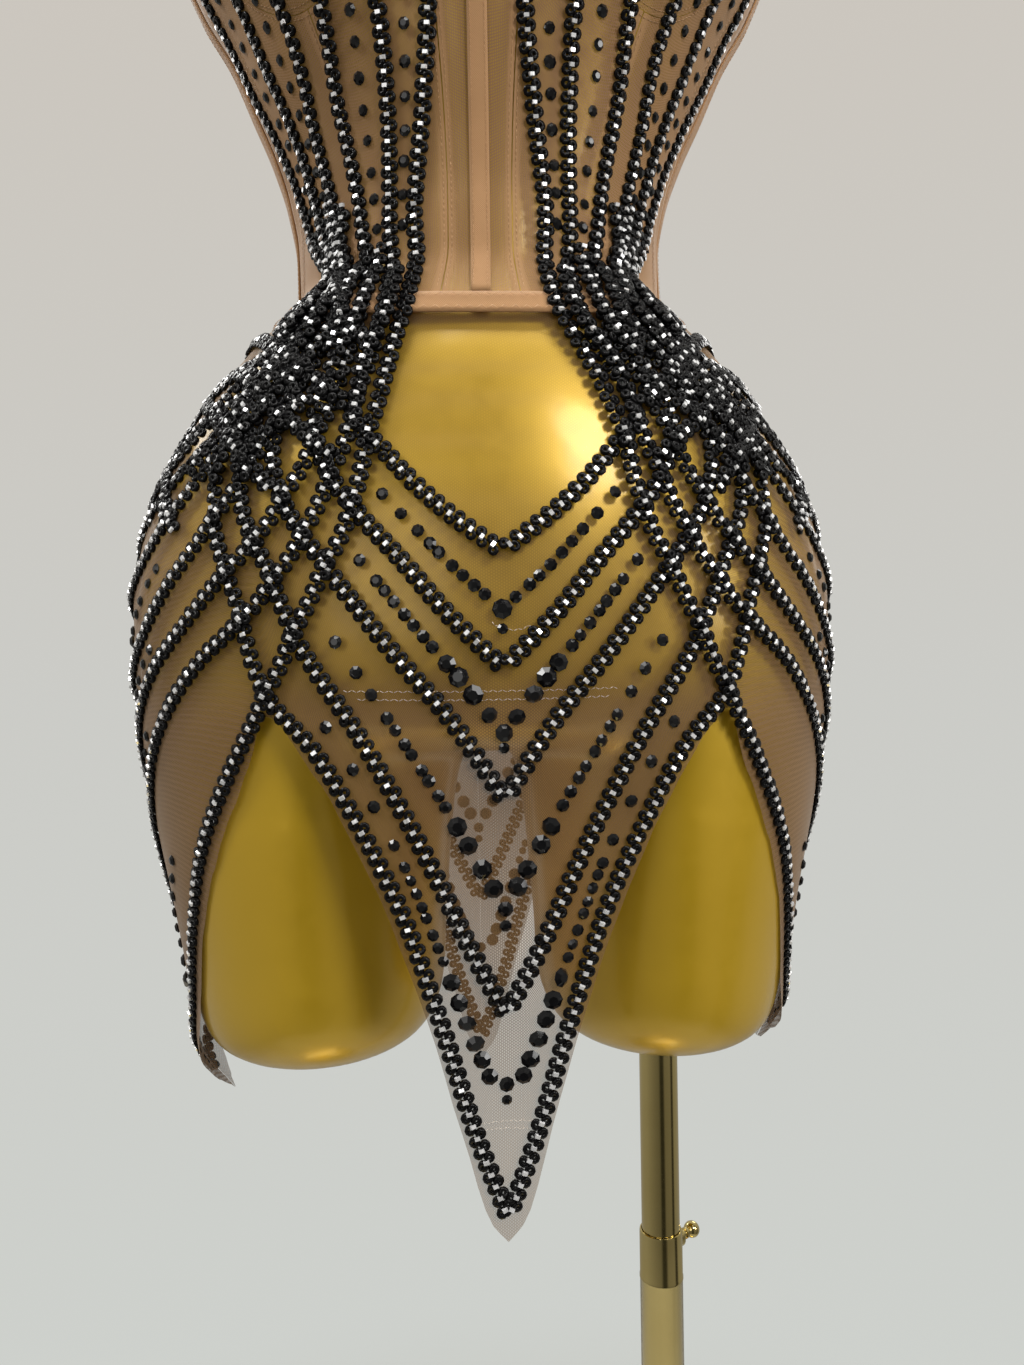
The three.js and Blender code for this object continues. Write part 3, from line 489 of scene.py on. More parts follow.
SMOKE_STONE = gem_finish("smoke stones", (0.55, 0.52, 0.46), (0.16, 0.14, 0.12), 0.07, metallic=0.85)


# ---------- making pieces ----------
def finish_piece(name, mesh, finish, body, replaced=()):
    piece = bpy.data.objects.new(name, mesh)
    bpy.context.scene.collection.objects.link(piece)
    mesh.materials.append(finish)
    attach(piece, body)
    if replaced:
        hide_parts(*replaced)
    return piece


def mesh_from(name, bm):
    mesh = bpy.data.meshes.new(name)
    bm.to_mesh(mesh)
    bm.free()
    return mesh


def soften(mesh, smooth_faces=True):
    mesh.polygons.foreach_set("use_smooth", np.full(len(mesh.polygons), smooth_faces))


def laid_grid(name, points, seam=None):
    """A grid pulled onto points[column, row], with a flat map in metres and how near a seam each place is."""
    columns, rows = points.shape[:2]
    bm = bmesh.new()
    bmesh.ops.create_grid(bm, x_segments=columns - 1, y_segments=rows - 1, size=0.5)
    mesh = mesh_from(name, bm)
    flat = np.empty(len(mesh.vertices) * 3)
    mesh.vertices.foreach_get("co", flat)
    spot = flat.reshape(-1, 3)
    column = np.rint((spot[:, 0] + 0.5) * (columns - 1)).astype(int)
    row = np.rint((spot[:, 1] + 0.5) * (rows - 1)).astype(int)
    mesh.vertices.foreach_set("co", points[column, row].ravel())
    step_u = np.linalg.norm(np.diff(points, axis=0), axis=2)
    step_v = np.linalg.norm(np.diff(points, axis=1), axis=2)
    u = np.concatenate([np.zeros((1, rows)), np.cumsum(step_u, axis=0)])
    v = np.concatenate([np.zeros((columns, 1)), np.cumsum(step_v, axis=1)], axis=1)
    u = u - u[(columns - 1) // 2]
    v = v - v[:, -1:]
    corner = np.empty(len(mesh.loops), int)
    mesh.loops.foreach_get("vertex_index", corner)
    uv = mesh.uv_layers.new(name="cloth")
    uv.data.foreach_set("uv", np.stack([u[column, row][corner], v[column, row][corner]], 1).ravel())
    if seam is not None:
        near = mesh.attributes.new("seam", "FLOAT", "POINT")
        near.data.foreach_set("value", seam[column, row].astype(np.float32))
    soften(mesh)
    return mesh


def thickened(mesh, wall):
    """A closed band from a laid grid: its back face first, then its rim."""
    bm = bmesh.new()
    bm.from_mesh(mesh)
    bmesh.ops.solidify(bm, geom=bm.faces[:], thickness=wall * MM)
    bm.to_mesh(mesh)
    bm.free()
    soften(mesh)
    return mesh


def template(bm):
    """Corners and faces of a small shape that is to be repeated."""
    bm.verts.ensure_lookup_table()
    corners = np.array([v.co for v in bm.verts])
    faces = [[v.index for v in f.verts] for f in bm.faces]
    bm.free()
    return corners, faces


def repeated(name, shape, centres, axes, sizes=None, smooth_faces=True):
    """One mesh that holds a copy of the shape at each centre, its x, y and z along the rows of axes."""
    corners, faces = shape
    count = len(centres)
    scaled = corners[None] * (np.ones((count, 1, 1)) if sizes is None else np.asarray(sizes).reshape(count, 1, -1))
    spots = centres[:, None] + np.einsum("nij,njk->nik", scaled, axes)
    mesh = bpy.data.meshes.new(name)
    lengths = np.array([len(f) for f in faces])
    loop = np.concatenate([np.array(f) for f in faces])
    shift = np.arange(count)[:, None] * len(corners)
    mesh.vertices.add(count * len(corners))
    mesh.vertices.foreach_set("co", spots.ravel())
    mesh.loops.add(count * len(loop))
    mesh.loops.foreach_set("vertex_index", (loop[None] + shift).ravel().astype(np.int32))
    mesh.polygons.add(count * len(faces))
    starts = np.concatenate([[0], np.cumsum(lengths)[:-1]])
    starts = starts[None] + np.arange(count)[:, None] * len(loop)
    mesh.polygons.foreach_set("loop_start", starts.ravel().astype(np.int32))
    mesh.update(calc_edges=True)
    soften(mesh, smooth_faces)
    mesh.validate()
    return mesh


def loop_shape():
    """One small loop of glossy cord."""
    bm = bmesh.new()
    ring = bmesh.ops.create_circle(bm, segments=4, radius=LOOP_CORD * MM, matrix=Matrix.Translation(
        (LOOP_RADIUS * MM, 0, 0)) @ Matrix.Rotation(math.pi / 2, 4, "X") @ Matrix.Rotation(math.pi / 4, 4, "Z"))
    edges = list({e for v in ring["verts"] for e in v.link_edges})
    bmesh.ops.spin(bm, geom=ring["verts"] + edges, cent=(0, 0, 0), axis=(0, 0, 1), angle=2 * math.pi, steps=9,
                   use_merge=True)
    bmesh.ops.remove_doubles(bm, verts=bm.verts[:], dist=1e-6)
    bmesh.ops.recalc_face_normals(bm, faces=bm.faces[:])
    return template(bm)


def crystal_shape():
    """A square cut crystal on a low seat."""
    bm = bmesh.new()
    bmesh.ops.create_cone(bm, cap_ends=True, segments=4, radius1=1.0, radius2=0.86, depth=1.0,
                          matrix=Matrix.Rotation(math.pi / 4, 4, "Z"))
    bmesh.ops.scale(bm, vec=(1.24, 1.74, 1.1), verts=bm.verts[:])
    bmesh.ops.scale(bm, vec=(MM, MM, MM), verts=bm.verts[:])
    return template(bm)


def stone_shape():
    """A round stone cut in facets, of unit radius: a flat table, a crown and a shallow foot."""
    bm = bmesh.new()
    bmesh.ops.create_cone(bm, cap_ends=True, segments=8, radius1=1.0, radius2=0.5, depth=0.42,
                          matrix=Matrix.Translation((0, 0, 0.30)))
    foot = [f for f in bm.faces if f.normal.z < -0.9]
    made = bmesh.ops.extrude_face_region(bm, geom=foot)
    lower = [v for v in made["geom"] if isinstance(v, bmesh.types.BMVert)]
    bmesh.ops.translate(bm, vec=(0, 0, -0.22), verts=lower)
    bmesh.ops.scale(bm, vec=(0.8, 0.8, 1), verts=lower)
    bmesh.ops.delete(bm, geom=foot, context="FACES_ONLY")
    return template(bm)


def stitch_shape():
    """A short stitch with pinched ends, of unit length."""
    bm = bmesh.new()
    bmesh.ops.create_cube(bm, size=1)
    for f in [f for f in bm.faces if abs(f.normal.x) > 0.9]:
        bmesh.ops.scale(bm, vec=(1, 0.5, 0.5), verts=f.verts[:])
    return template(bm)


# ---------- lines on the cloth ----------
def unit(vectors):
    return vectors / np.linalg.norm(vectors, axis=-1, keepdims=True)


def length_along(spots):
    """How far each spot of a line lies from its first, in millimetres."""
    return np.concatenate([[0], np.cumsum(np.linalg.norm(np.diff(spots, axis=0), axis=1))]) / MM


def outward_at(angle, z, out):
    round_it = cloth_point(angle + 0.5, z, out) - cloth_point(angle - 0.5, z, out)
    up = cloth_point(angle, z + 1, out) - cloth_point(angle, z - 1, out)
    return unit(np.cross(round_it, up))


def smooth_run(points, step=0.04):
    """A rounded line through points of angle and height, with a third value of their layer."""
    rows = np.array([(p + (0,))[:3] for p in points], float)
    ends = [2 * rows[0] - rows[1], *rows, 2 * rows[-1] - rows[-2]]
    run = []
    for p0, p1, p2, p3 in zip(ends, ends[1:], ends[2:], ends[3:]):
        d0, d1, d2 = (max(np.hypot(*(b - a)[:2]), 1e-4) ** 0.5 for a, b in ((p0, p1), (p1, p2), (p2, p3)))
        m1 = ((p1 - p0) / d0 - (p2 - p0) / (d0 + d1) + (p2 - p1) / d1) * d1
        m2 = ((p2 - p1) / d1 - (p3 - p1) / (d1 + d2) + (p3 - p2) / d2) * d1
        t = np.arange(0, 1, step)[:, None]
        run.append(p1 + m1 * t + (3 * (p2 - p1) - 2 * m1 - m2) * t ** 2 + (2 * (p1 - p2) + m1 + m2) * t ** 3)
    run.append(rows[-1:])
    return np.concatenate(run)


def frames_along(run, pitch, out, side=0.0, phase=0.0, jitter=0.0):
    """Places at even steps along a line on the cloth: centres, and axes along, across and out of it."""
    angle, z, lift = run.T
    far = length_along(cloth_point(angle, z, out))
    count = int((far[-1] - phase) / pitch)
    at = phase + pitch * (np.arange(count) + 0.5)
    if jitter:
        at = at + chance.normal(0, jitter, count)
    a, h, raised_by = (np.interp(at, far, column) for column in (angle, z, lift))
    ahead, behind = ([np.interp(at + step, far, column) for column in (angle, z)] for step in (0.8, -0.8))
    base = out + raised_by + (TAPE_OUT - 0.8) * over_tape(a, h)
    along = unit(cloth_point(*ahead, base) - cloth_point(*behind, base))
    across = unit(np.cross(outward_at(a, h, base), along))
    return cloth_point(a, h, base) + side * MM * across, np.stack([along, across, np.cross(along, across)], 1)


QUARTERS = {"front_right": lambda a: a, "front_left": lambda a: -a, "back_right": lambda a: 180 - a,
            "back_left": lambda a: a - 180}


def ended_below_neck(points, turned):
    last = points[-1][0]
    end = float(neck_at(turned(last))) - NECK_TAPE - 5
    return [p for p in points[:-1] if p[1] < end - 8] + [(last, end)]


def whole_braids(front):
    """Every braid of a quarter from its point up to its end, with the layer that it takes in the knot."""
    braids = []
    for below, through, above, layer in KNOT:
        runs_on = above is not None and (front or above in (B1, B2, B3))
        height = (0.0, 2.3, 4.2)[layer]
        way = [(*p, height) for p in through]
        if above is not None and not runs_on:
            way.append((through[-1][0] + 4, 1090, 0.6))
        braids.append((below, way, above if runs_on else None))
    return braids + [([], strand, None) for strand in HIP_STRANDS]


# ---------- camera, floor and light ----------
# Once round the room from the back by the left to the back again: share of the turn, and colour.
WALLS = [(0.0, 0.62, 0.61, 0.57), (0.25, 0.55, 0.54, 0.50), (0.40, 0.34, 0.33, 0.30), (0.47, 0.26, 0.255, 0.23),
         (0.50, 0.06, 0.06, 0.05), (0.54, 0.06, 0.06, 0.05), (0.57, 0.32, 0.31, 0.28), (0.67, 0.36, 0.35, 0.32),
         (0.69, 0.07, 0.068, 0.06), (0.715, 0.07, 0.068, 0.06), (0.74, 0.50, 0.49, 0.45), (1.0, 0.62, 0.61, 0.57)]


def look_setup():
    stand_off, azimuth, focal, axis_px, roll = 0.505, math.radians(-1.7), 990.0, 487.0, math.radians(-0.86)
    heading = -azimuth + math.atan((512 - axis_px) / focal)
    camera = bpy.data.objects.new("camera", bpy.data.cameras.new("camera"))
    camera.location = (stand_off * math.sin(azimuth), -stand_off * math.cos(azimuth), 0.9)
    aim = Matrix.Rotation(-heading, 4, "Z") @ Matrix.Rotation(math.pi / 2, 4, "X") @ Matrix.Rotation(roll, 4, "Z")
    camera.rotation_euler = aim.to_euler()
    camera.data.lens = focal / 1365 * 36
    camera.data.sensor_width = 36
    camera.data.clip_start = 0.02
    bpy.context.scene.collection.objects.link(camera)
    bpy.context.scene.camera = camera

    def area(name, place, target, size, power, colour=(1, 1, 1)):
        light = bpy.data.lights.new(name, "AREA")
        light.shape = "RECTANGLE"
        light.size, light.size_y = size
        light.energy = power
        light.color = colour
        lamp = bpy.data.objects.new(name, light)
        lamp.location = place
        lamp.rotation_euler = (Vector(target) - Vector(place)).to_track_quat("-Z", "Y").to_euler()
        bpy.context.scene.collection.objects.link(lamp)

    area("soft key", (0.95, -1.5, 2.05), (0, 0, 1.0), (0.6, 0.5), 20, (1.0, 0.98, 0.95))
    area("left lamp", (-1.5, -0.5, 2.4), (0, 0, 1.0), (0.5, 0.45), 16, (1.0, 0.99, 0.97))
    area("right lamp", (1.8, -1.0, 1.45), (0, 0, 0.95), (0.35, 0.8), 11, (1.0, 0.99, 0.97))
    area("front fill", (-0.9, -2.2, 1.5), (0, 0, 0.9), (1.2, 0.9), 7, (1.0, 0.99, 0.97))
    area("ceiling", (0.1, -0.35, 2.9), (0, 0, 1.0), (1.3, 1.3), 40, (1.0, 0.98, 0.94))
    area("left back", (-1.4, 1.5, 2.3), (0, 0, 0.95), (0.7, 0.7), 11, (1.0, 0.99, 0.97))
    area("right back", (1.2, 1.8, 1.7), (0, 0, 0.95), (0.8, 1.0), 8, (1.0, 0.99, 0.97))

    world = bpy.data.worlds.new("pale room")
    world.use_nodes = True
    tree = world.node_tree
    background = tree.nodes["Background"]
    bpy.context.scene.view_settings.view_transform = "Standard"
    up = node(tree, "ShaderNodeSeparateXYZ", Vector=tree.nodes.new("ShaderNodeTexCoord").outputs["Generated"])
    ramp = node(tree, "ShaderNodeValToRGB", Fac=maths(tree, "MULTIPLY_ADD", up.outputs["Z"], 0.7, 0.5))
    ramp.color_ramp.elements[0].color = (0.62, 0.645, 0.615, 1)
    ramp.color_ramp.elements[1].color = (0.60, 0.555, 0.50, 1)
    middle = ramp.color_ramp.elements.new(0.5)
    middle.color = (0.60, 0.60, 0.57, 1)
    link(tree, ramp.outputs["Color"], background.inputs["Color"])
    background.inputs["Strength"].default_value = 1.0
    # What lights and mirrors in the pieces: pale walls behind, dimmer towards the front, with two dark uprights.
    round_about = maths(tree, "ARCTAN2", up.outputs["X"], maths(tree, "MULTIPLY", up.outputs["Y"], -1.0))
    walls = node(tree, "ShaderNodeValToRGB", Fac=maths(tree, "MULTIPLY_ADD", round_about, 0.5 / math.pi, 0.5))
    stops = walls.color_ramp.elements
    stops[0].color, stops[1].color = (*WALLS[0][1:], 1), (*WALLS[-1][1:], 1)
    for at, *colour in WALLS[1:-1]:
        stops.new(at).color = (*colour, 1)
    glow = maths(tree, "MULTIPLY_ADD", up.outputs["Z"], 0.45, 0.80)
    room = node(tree, "ShaderNodeBackground", Color=walls.outputs["Color"], Strength=glow)
    seen = node(tree, "ShaderNodeMixShader", Fac=tree.nodes.new("ShaderNodeLightPath").outputs["Is Camera Ray"])
    link(tree, room.outputs["Background"], seen.inputs[1])
    link(tree, background.outputs["Background"], seen.inputs[2])
    link(tree, seen.outputs["Shader"], tree.nodes["World Output"].inputs["Surface"])
    bpy.context.scene.world = world

    bm = bmesh.new()
    bmesh.ops.create_circle(bm, cap_ends=True, segments=64, radius=1.0)
    ground = bpy.data.objects.new("floor", mesh_from("floor", bm))
    bpy.context.scene.collection.objects.link(ground)
    ground.data.materials.append(floor_finish())


# ---------- the dress form and its stand ----------
def wrapped_skin(rings):
    """A closed skin over rings of points: a grid rolled up, its seam joined and its ends filled."""
    loop = np.concatenate([rings, rings[:, :1]], axis=1)
    mesh = laid_grid("skin", loop.transpose(1, 0, 2))
    bm = bmesh.new()
    bm.from_mesh(mesh)
    bpy.data.meshes.remove(mesh)
    bmesh.ops.remove_doubles(bm, verts=bm.verts[:], dist=1e-6)
    bmesh.ops.holes_fill(bm, edges=[e for e in bm.edges if e.is_boundary], sides=0)
    bmesh.ops.recalc_face_normals(bm, faces=bm.faces[:])
    return bm


def dress_form():
    inset = curve_through(FORM_INSET[:, 0], FORM_INSET[:, 1])
    levels = np.concatenate([np.linspace(870, 1548, 150), [1553, 1557, 1559.5]])
    around = np.arange(0, 360, 2.5)
    gap = inset(levels) + 4.0 * smooth(1548, 1560, levels)
    torso = wrapped_skin(body_point(around[None], levels[:, None], -gap[:, None], 0.7))

    def thigh(side):
        rows = THIGHS[::-1]
        read = [curve_through(rows[:, 0], rows[:, c]) for c in (1, 2, 3, 4)]
        z = np.concatenate([[723.5, 725, 727, 730, 734, 740], np.linspace(747, 905, 38)])
        inner, outer, depth, closing = (f(z) for f in read)
        angle = np.radians(np.arange(0, 360, 6))
        half = (outer - inner) / 2 * closing
        x = side * (inner + outer)[:, None] / 2 + half[:, None] * np.sin(angle)
        y = 4 - (depth * closing)[:, None] * np.cos(angle)
        edge = np.where(y < 0, front_at(z)[:, None], back_at(z)[:, None]) - THIGH_GAP
        share = np.hypot(x / (half_at(z)[:, None] - THIGH_GAP), y / edge)
        keep = np.where(share > 1, 1 / share, 1)
        middle = side * (inner + outer)[:, None] / 2
        x, y = middle + (x - middle) * keep, 4 + (y - 4) * keep
        return wrapped_skin(np.stack([x, y, np.broadcast_to(z[:, None], x.shape)], -1) * MM)

    joined = bmesh.new()
    for bm in (torso, thigh(1), thigh(-1)):
        made = mesh_from("part of the form", bm)
        joined.from_mesh(made)
        bpy.data.meshes.remove(made)
    piece = finish_piece("form_body", mesh_from("form_body", joined), LACQUER, "form", ["dress_form"])
    remesh = piece.modifiers.new("one skin", "REMESH")
    remesh.mode = "VOXEL"
    remesh.voxel_size = 0.0042
    held = piece.evaluated_get(bpy.context.evaluated_depsgraph_get())
    skin = bpy.data.meshes.new_from_object(held)
    piece.modifiers.clear()
    bm = bmesh.new()
    bm.from_mesh(skin)
    bmesh.ops.recalc_face_normals(bm, faces=bm.faces[:])
    for _ in range(3):
        bmesh.ops.smooth_vert(bm, verts=bm.verts[:], factor=0.5, use_axis_x=True, use_axis_y=True, use_axis_z=True)
    crotch = [v for v in bm.verts if 0.84 < v.co.z < 0.93]
    for _ in range(14):
        bmesh.ops.smooth_vert(bm, verts=crotch, factor=0.5, use_axis_x=True, use_axis_y=True, use_axis_z=True)
    bm.to_mesh(skin)
    bm.free()
    socket = bpy.data.objects.new("socket", bpy.data.meshes.new("socket"))
    bm = bmesh.new()
    bmesh.ops.create_cone(bm, cap_ends=True, segments=40, radius1=0.0101, radius2=0.0101, depth=0.0803,
                          matrix=Matrix.Translation((POLE_X * MM, POLE_Y * MM, 0.73015)))
    bm.to_mesh(socket.data)
    bm.free()
    bpy.context.scene.collection.objects.link(socket)
    piece.data = skin
    skin.materials.clear()
    skin.materials.append(LACQUER)
    cut = piece.modifiers.new("socket", "BOOLEAN")
    cut.operation, cut.object, cut.solver = "DIFFERENCE", socket, "EXACT"
    held = piece.evaluated_get(bpy.context.evaluated_depsgraph_get())
    bored = bpy.data.meshes.new_from_object(held)
    piece.modifiers.clear()
    bpy.data.objects.remove(socket)
    piece.data = bored
    soften(bored)
    return piece


def turned_piece(name, profile, steps, body, node_name, place=(0, 0, 0), turn=None, extra=None):
    """A piece turned on the lathe from a closed profile of radius and height in millimetres."""
    bm = bmesh.new()
    rim = [bm.verts.new((r * MM, 0, z * MM)) for r, z in profile]
    edges = [bm.edges.new((a, b)) for a, b in zip(rim, rim[1:] + rim[:1])]
    bmesh.ops.spin(bm, geom=rim + edges, cent=(0, 0, 0), axis=(0, 0, 1), angle=2 * math.pi, steps=steps, use_merge=True)
    bmesh.ops.remove_doubles(bm, verts=bm.verts[:], dist=2e-6)
    bmesh.ops.dissolve_degenerate(bm, dist=1e-7, edges=bm.edges[:])
    bmesh.ops.recalc_face_normals(bm, faces=bm.faces[:])
    if turn is not None:
        bmesh.ops.transform(bm, matrix=turn, verts=bm.verts[:])
    bmesh.ops.translate(bm, vec=place, verts=bm.verts[:])
    if extra is not None:
        extra(bm)
    piece = finish_piece(name, mesh_from(name, bm), BRASS, body, [node_name])
    soften(piece.data)
    piece.data.set_sharp_from_angle(angle=math.radians(32))


def stand():
    turned_piece("base_disc", [(0, 0), (189, 0), (190, 0.6), (190, 4.6), (189.5, 5.4), (188.4, 5.9), (187, 6), (0, 6)],
                 128, "base", "base_plate")
    foot = 6.3  # the tube's flange stands just over the plate
    pole = (POLE_X * MM, POLE_Y * MM, 0)
    clamp = (POLE_X * MM, POLE_Y * MM, CLAMP_Z * MM)
    across = Matrix.Rotation(math.radians(38), 4, "Z") @ Matrix.Rotation(math.pi / 2, 4, "Y")

    def boss(bm):
        made = bmesh.ops.create_cone(bm, cap_ends=True, segments=32, radius1=4.6, radius2=4.6, depth=4.0)
        bmesh.ops.scale(bm, vec=(MM, MM, MM), verts=made["verts"])
        place = Matrix.Translation(clamp) @ across @ Matrix.Translation((0, 0, 0.0125))
        bmesh.ops.transform(bm, matrix=place, verts=made["verts"])

    turned_piece("stand_tube", [
        (10.1, foot), (23.6, foot), (24, foot + 0.5), (24, foot + 3.2), (23.2, foot + 4.2), (16, foot + 7),
        (13, foot + 9.6), (11.4, foot + 13), (11, foot + 17), (11, 590.5), (11.25, 591), (11.25, 592.2), (11, 592.7),
        (11, 614.6), (10.8, 615.7), (10.5, 616), (10.1, 616)], 64, "base", "outer_tube", pole, extra=boss)
    turned_piece("post_tube", [(8.6, 300), (9.8, 300), (9.8, 770), (8.6, 770)], 64, "post", "inner_tube", pole)
    ball = [(4.2 * math.sin(t), 25 - 4.2 * math.cos(t)) for t in np.radians(np.linspace(30, 180, 14))]
    ball[-1] = (0, 29.2)
    shank = [(0, 10.1), (1.9, 10.1), (2.1, 10.3), (2.1, 18.5), (2.8, 18.9), (2.8, 20.2), (2.1, 20.6)]
    turned_piece("clamp_knob", shank + ball, 40, "clamp", "clamp_screw", clamp, across)


# ---------- the net ----------
def seam_cover(angles, heights, seamed, edge=3.2):
    """1 where the net is doubled at a panel's side seams, 0 away from them."""
    if not seamed:
        return np.zeros(heights.shape)
    spots = cloth_point(angles[:, None], heights, NET_OUT)
    step = np.linalg.norm(np.diff(spots, axis=0), axis=2) / MM
    from_left = np.concatenate([np.zeros((1, step.shape[1])), np.cumsum(step, axis=0)])
    near = np.minimum(from_left, from_left[-1:] - from_left)
    return 1 - smooth(edge - 0.8, edge + 0.4, near)


def net_panel(name, node_name, angles, low, high, rows, finish, seamed=False):
    """A panel of net on the cloth from the height low to the height high at each angle, with doubled net at its side
    seams where seamed is set.
    """
    shares = np.linspace(0, 1, rows + 1)[None]
    bottom, top = low(angles)[:, None], high(angles)[:, None]
    heights = bottom + (top - bottom) * shares
    points = cloth_point(angles[:, None], heights, NET_OUT)
    mesh = laid_grid(name, points, seam_cover(angles, heights, seamed))
    piece = finish_piece(name, mesh, finish, "form", [node_name])


def columns(first, last, step):
    count = max(2, int(round(abs(last - first) / step)))
    return np.linspace(first, last, count + 1)


def net():
    gap = 0.14  # degrees left open beside a seam
    back_gap = 0.025  # and at the centre back, where light would show through
    whole = columns(-90 + gap, 90 - gap, 1.25)
    skirt_top = lambda a: waist_at(a) - 0.3
    net_panel("net_skirt_front", "skirt_front", whole, hem_at, skirt_top, 84,
              SKIRT_NET)
    for side, sign in (("right", 1), ("left", -1)):
        back = np.sort(sign * columns(90 + gap, 180 - back_gap, 1.25))
        net_panel(f"net_skirt_back_{side}", f"skirt_back_{side}", back, hem_at, skirt_top, 84, BACK_NET)
        for panel, (first, last) in PANELS.items():
            angles = np.sort(sign * columns(first + gap, last - gap, 1.3))
            if panel in ("front", "side_front"):
                low, high, rows, flat = waist_at, lambda a: wire_at(a) - 0.3, 40, (0.06, 0.18, 0.0075)
            else:
                low, high, rows = waist_at, neck_at, 56
                flat = (0.075, 0.25, 0.0145) if panel == "side" else (0.115, 0.24, 0.024)
            net_panel(f"net_{panel}_{side}", f"bodice_{panel}_{side}", angles, low, high, rows, BODICE_NET,
                      seamed=True)
        cup = np.sort(sign * columns(9 + gap, 71 - gap, 1.3))
        net_panel(f"net_cup_{side}", f"cup_{side}", cup, wire_at, neck_at, 34, BODICE_NET)
    net_panel("net_gore", "bodice_gore", columns(-9 + gap, 9 - gap, 1.0), waist_at, neck_at, 56, BODICE_NET,
              seamed=True)


# ---------- tapes and sewing ----------
def degrees_for(width, z):
    return np.degrees(width / half_at(z))


def tape_band(name, node_name, angles, heights):
    """heights[column] runs from the lower to the upper edge of the tape."""
    points = cloth_point(angles, heights, TAPE_OUT)
    mesh = thickened(laid_grid(name, points), TAPE_OUT - TAPE_IN)
    return finish_piece(name, mesh, TAPE, "form", [node_name])


def tapes():
    for name, node_name, low, high, level in (
            ("tape_waist", "waist_tape", waist_at, lambda a: waist_at(a) + WAIST_TAPE, 1060),
            ("tape_neck", "neck_tape", lambda a: neck_at(a) - NECK_TAPE, neck_at, 1286)):
        end = 180 - float(degrees_for(ZIP_HALF, level)) - 0.8
        angles = columns(-end, end, 1.5)[:, None]
        tape_band(name, node_name, np.broadcast_to(angles, (len(angles), 5)),
                  low(angles) + (high(angles) - low(angles)) * np.linspace(0, 1, 5))

    def casing(name, node_name, angle, low, high):
        z = np.linspace(low, high, 60)
        across = np.linspace(-1, 1, 7)[:, None]
        radian = np.hypot(half_at(z) * math.cos(math.radians(angle)), front_at(z) * math.sin(math.radians(angle)))
        half = np.degrees(TAPE_WIDTH / 2 / radian)
        tape_band(name, node_name, angle + across * half, np.broadcast_to(z, (7, 60)))

    above = lambda a: float(waist_at(a)) + WAIST_TAPE + 0.3
    below = lambda a: float(neck_at(a)) - NECK_TAPE - 0.3
    casing("tape_bone_front", "bone_casing_front", 0, above(0), below(0))
    for side, sign in (("right", 1), ("left", -1)):
        casing(f"tape_bone_side_{side}", f"bone_casing_side_{side}", 86 * sign, above(86) + 1, below(86) - 2)
        casing(f"tape_bone_back_{side}", f"bone_casing_back_{side}", 112 * sign, above(112) + 1, below(112) - 2)


def stitches_along(run, pitch, length, thick, out, side=0.0, lean=0.0):
    """Stitches at even steps, each leaning from the line by an angle, in turn one way and the other."""
    centre, axes = frames_along(run, pitch, out, side)
    way = np.where(np.arange(len(centre)) % 2, 1, -1) * math.radians(lean)
    c, s = np.cos(way)[:, None], np.sin(way)[:, None]
    along, across = axes[:, 0] * c + axes[:, 1] * s, axes[:, 1] * c - axes[:, 0] * s
    sizes = np.tile([length * MM, thick * MM, thick * MM], (len(centre), 1))
    return centre, np.stack([along, across, axes[:, 2]], 1), sizes


def sewing():
    rows = []
    level = lambda angle, base, up: np.array([(a, float(base(a)) + up) for a in angle])

    def row(points, *rest, **more):
        points = np.concatenate([points, np.zeros((len(points), 1))], axis=1)
        rows.append(stitches_along(points, *rest, **more))

    around = np.arange(-172, 172.1, 1.0)
    for up in (1.6, WAIST_TAPE - 1.8):
        row(level(around, waist_at, up), 2.4, 2.9, 0.34, TAPE_OUT + 0.1, lean=38)
    for up in (-1.6, -NECK_TAPE + 1.6):
        row(level(around, neck_at, up), 2.4, 2.2, 0.34, TAPE_OUT + 0.1)
    for angle in (0, 86, -86, 112, -112):
        z = np.arange(float(waist_at(angle)) + WAIST_TAPE + 2, float(neck_at(angle)) - NECK_TAPE - 3, 3.0)
        for side in (-TAPE_WIDTH / 2 + 1.2, TAPE_WIDTH / 2 - 1.2):
            row(np.stack([np.full(len(z), angle), z], 1), 2.3, 1.7, 0.34, TAPE_OUT + 0.1, side=side)
    for angle in (9, -9, 38, -38, 71, -71, 110, -110):
        top = float(wire_at(angle)) if abs(angle) == 38 else float(neck_at(angle)) - NECK_TAPE
        z = np.arange(float(waist_at(angle)) + WAIST_TAPE + 2, top, 3.0)
        for side in (-1.7, 1.7):
            row(np.stack([np.full(len(z), angle), z], 1), 2.6, 1.8, 0.26, NET_OUT + 0.15, side=side)
    for sign in (1, -1):
        arc = np.arange(10, 70.1, 1.0) * sign
        for up in (-2.0, 2.0):
            row(level(arc, wire_at, up), 2.4, 1.8, 0.3, NET_OUT + 0.2)
        z = np.arange(704, 1054, 3.0)
        row(np.stack([np.full(len(z), 90 * sign), z], 1), 2.6, 1.9, 0.28, NET_OUT + 0.2)
    tan_count = len(rows)
    for z, first, last in ((896.6, -22, 17), (893.2, -20, 16), (921, -1.5, 4.5), (719, -5, 7), (716, -6, 5)):
        angle = np.arange(first, last, 0.8)
        bend = 3.2 * ((angle - (first + last) / 2) / (last - first)) ** 2 * (4 if z > 920 else 1)
        row(np.stack([angle, z + bend * (1 if z > 890 else -1)], 1), 1.9, 1.5, 0.3, NET_OUT + 0.25, lean=24)
    for name, finish, part in (("stitches", THREAD, rows[:tan_count]),
                               ("stitches_pale", PALE_THREAD, rows[tan_count:])):
        centre, axes, size = (np.concatenate(column) for column in zip(*part))
        finish_piece(name, repeated(name, stitch_shape(), centre, axes, size), finish, "form")


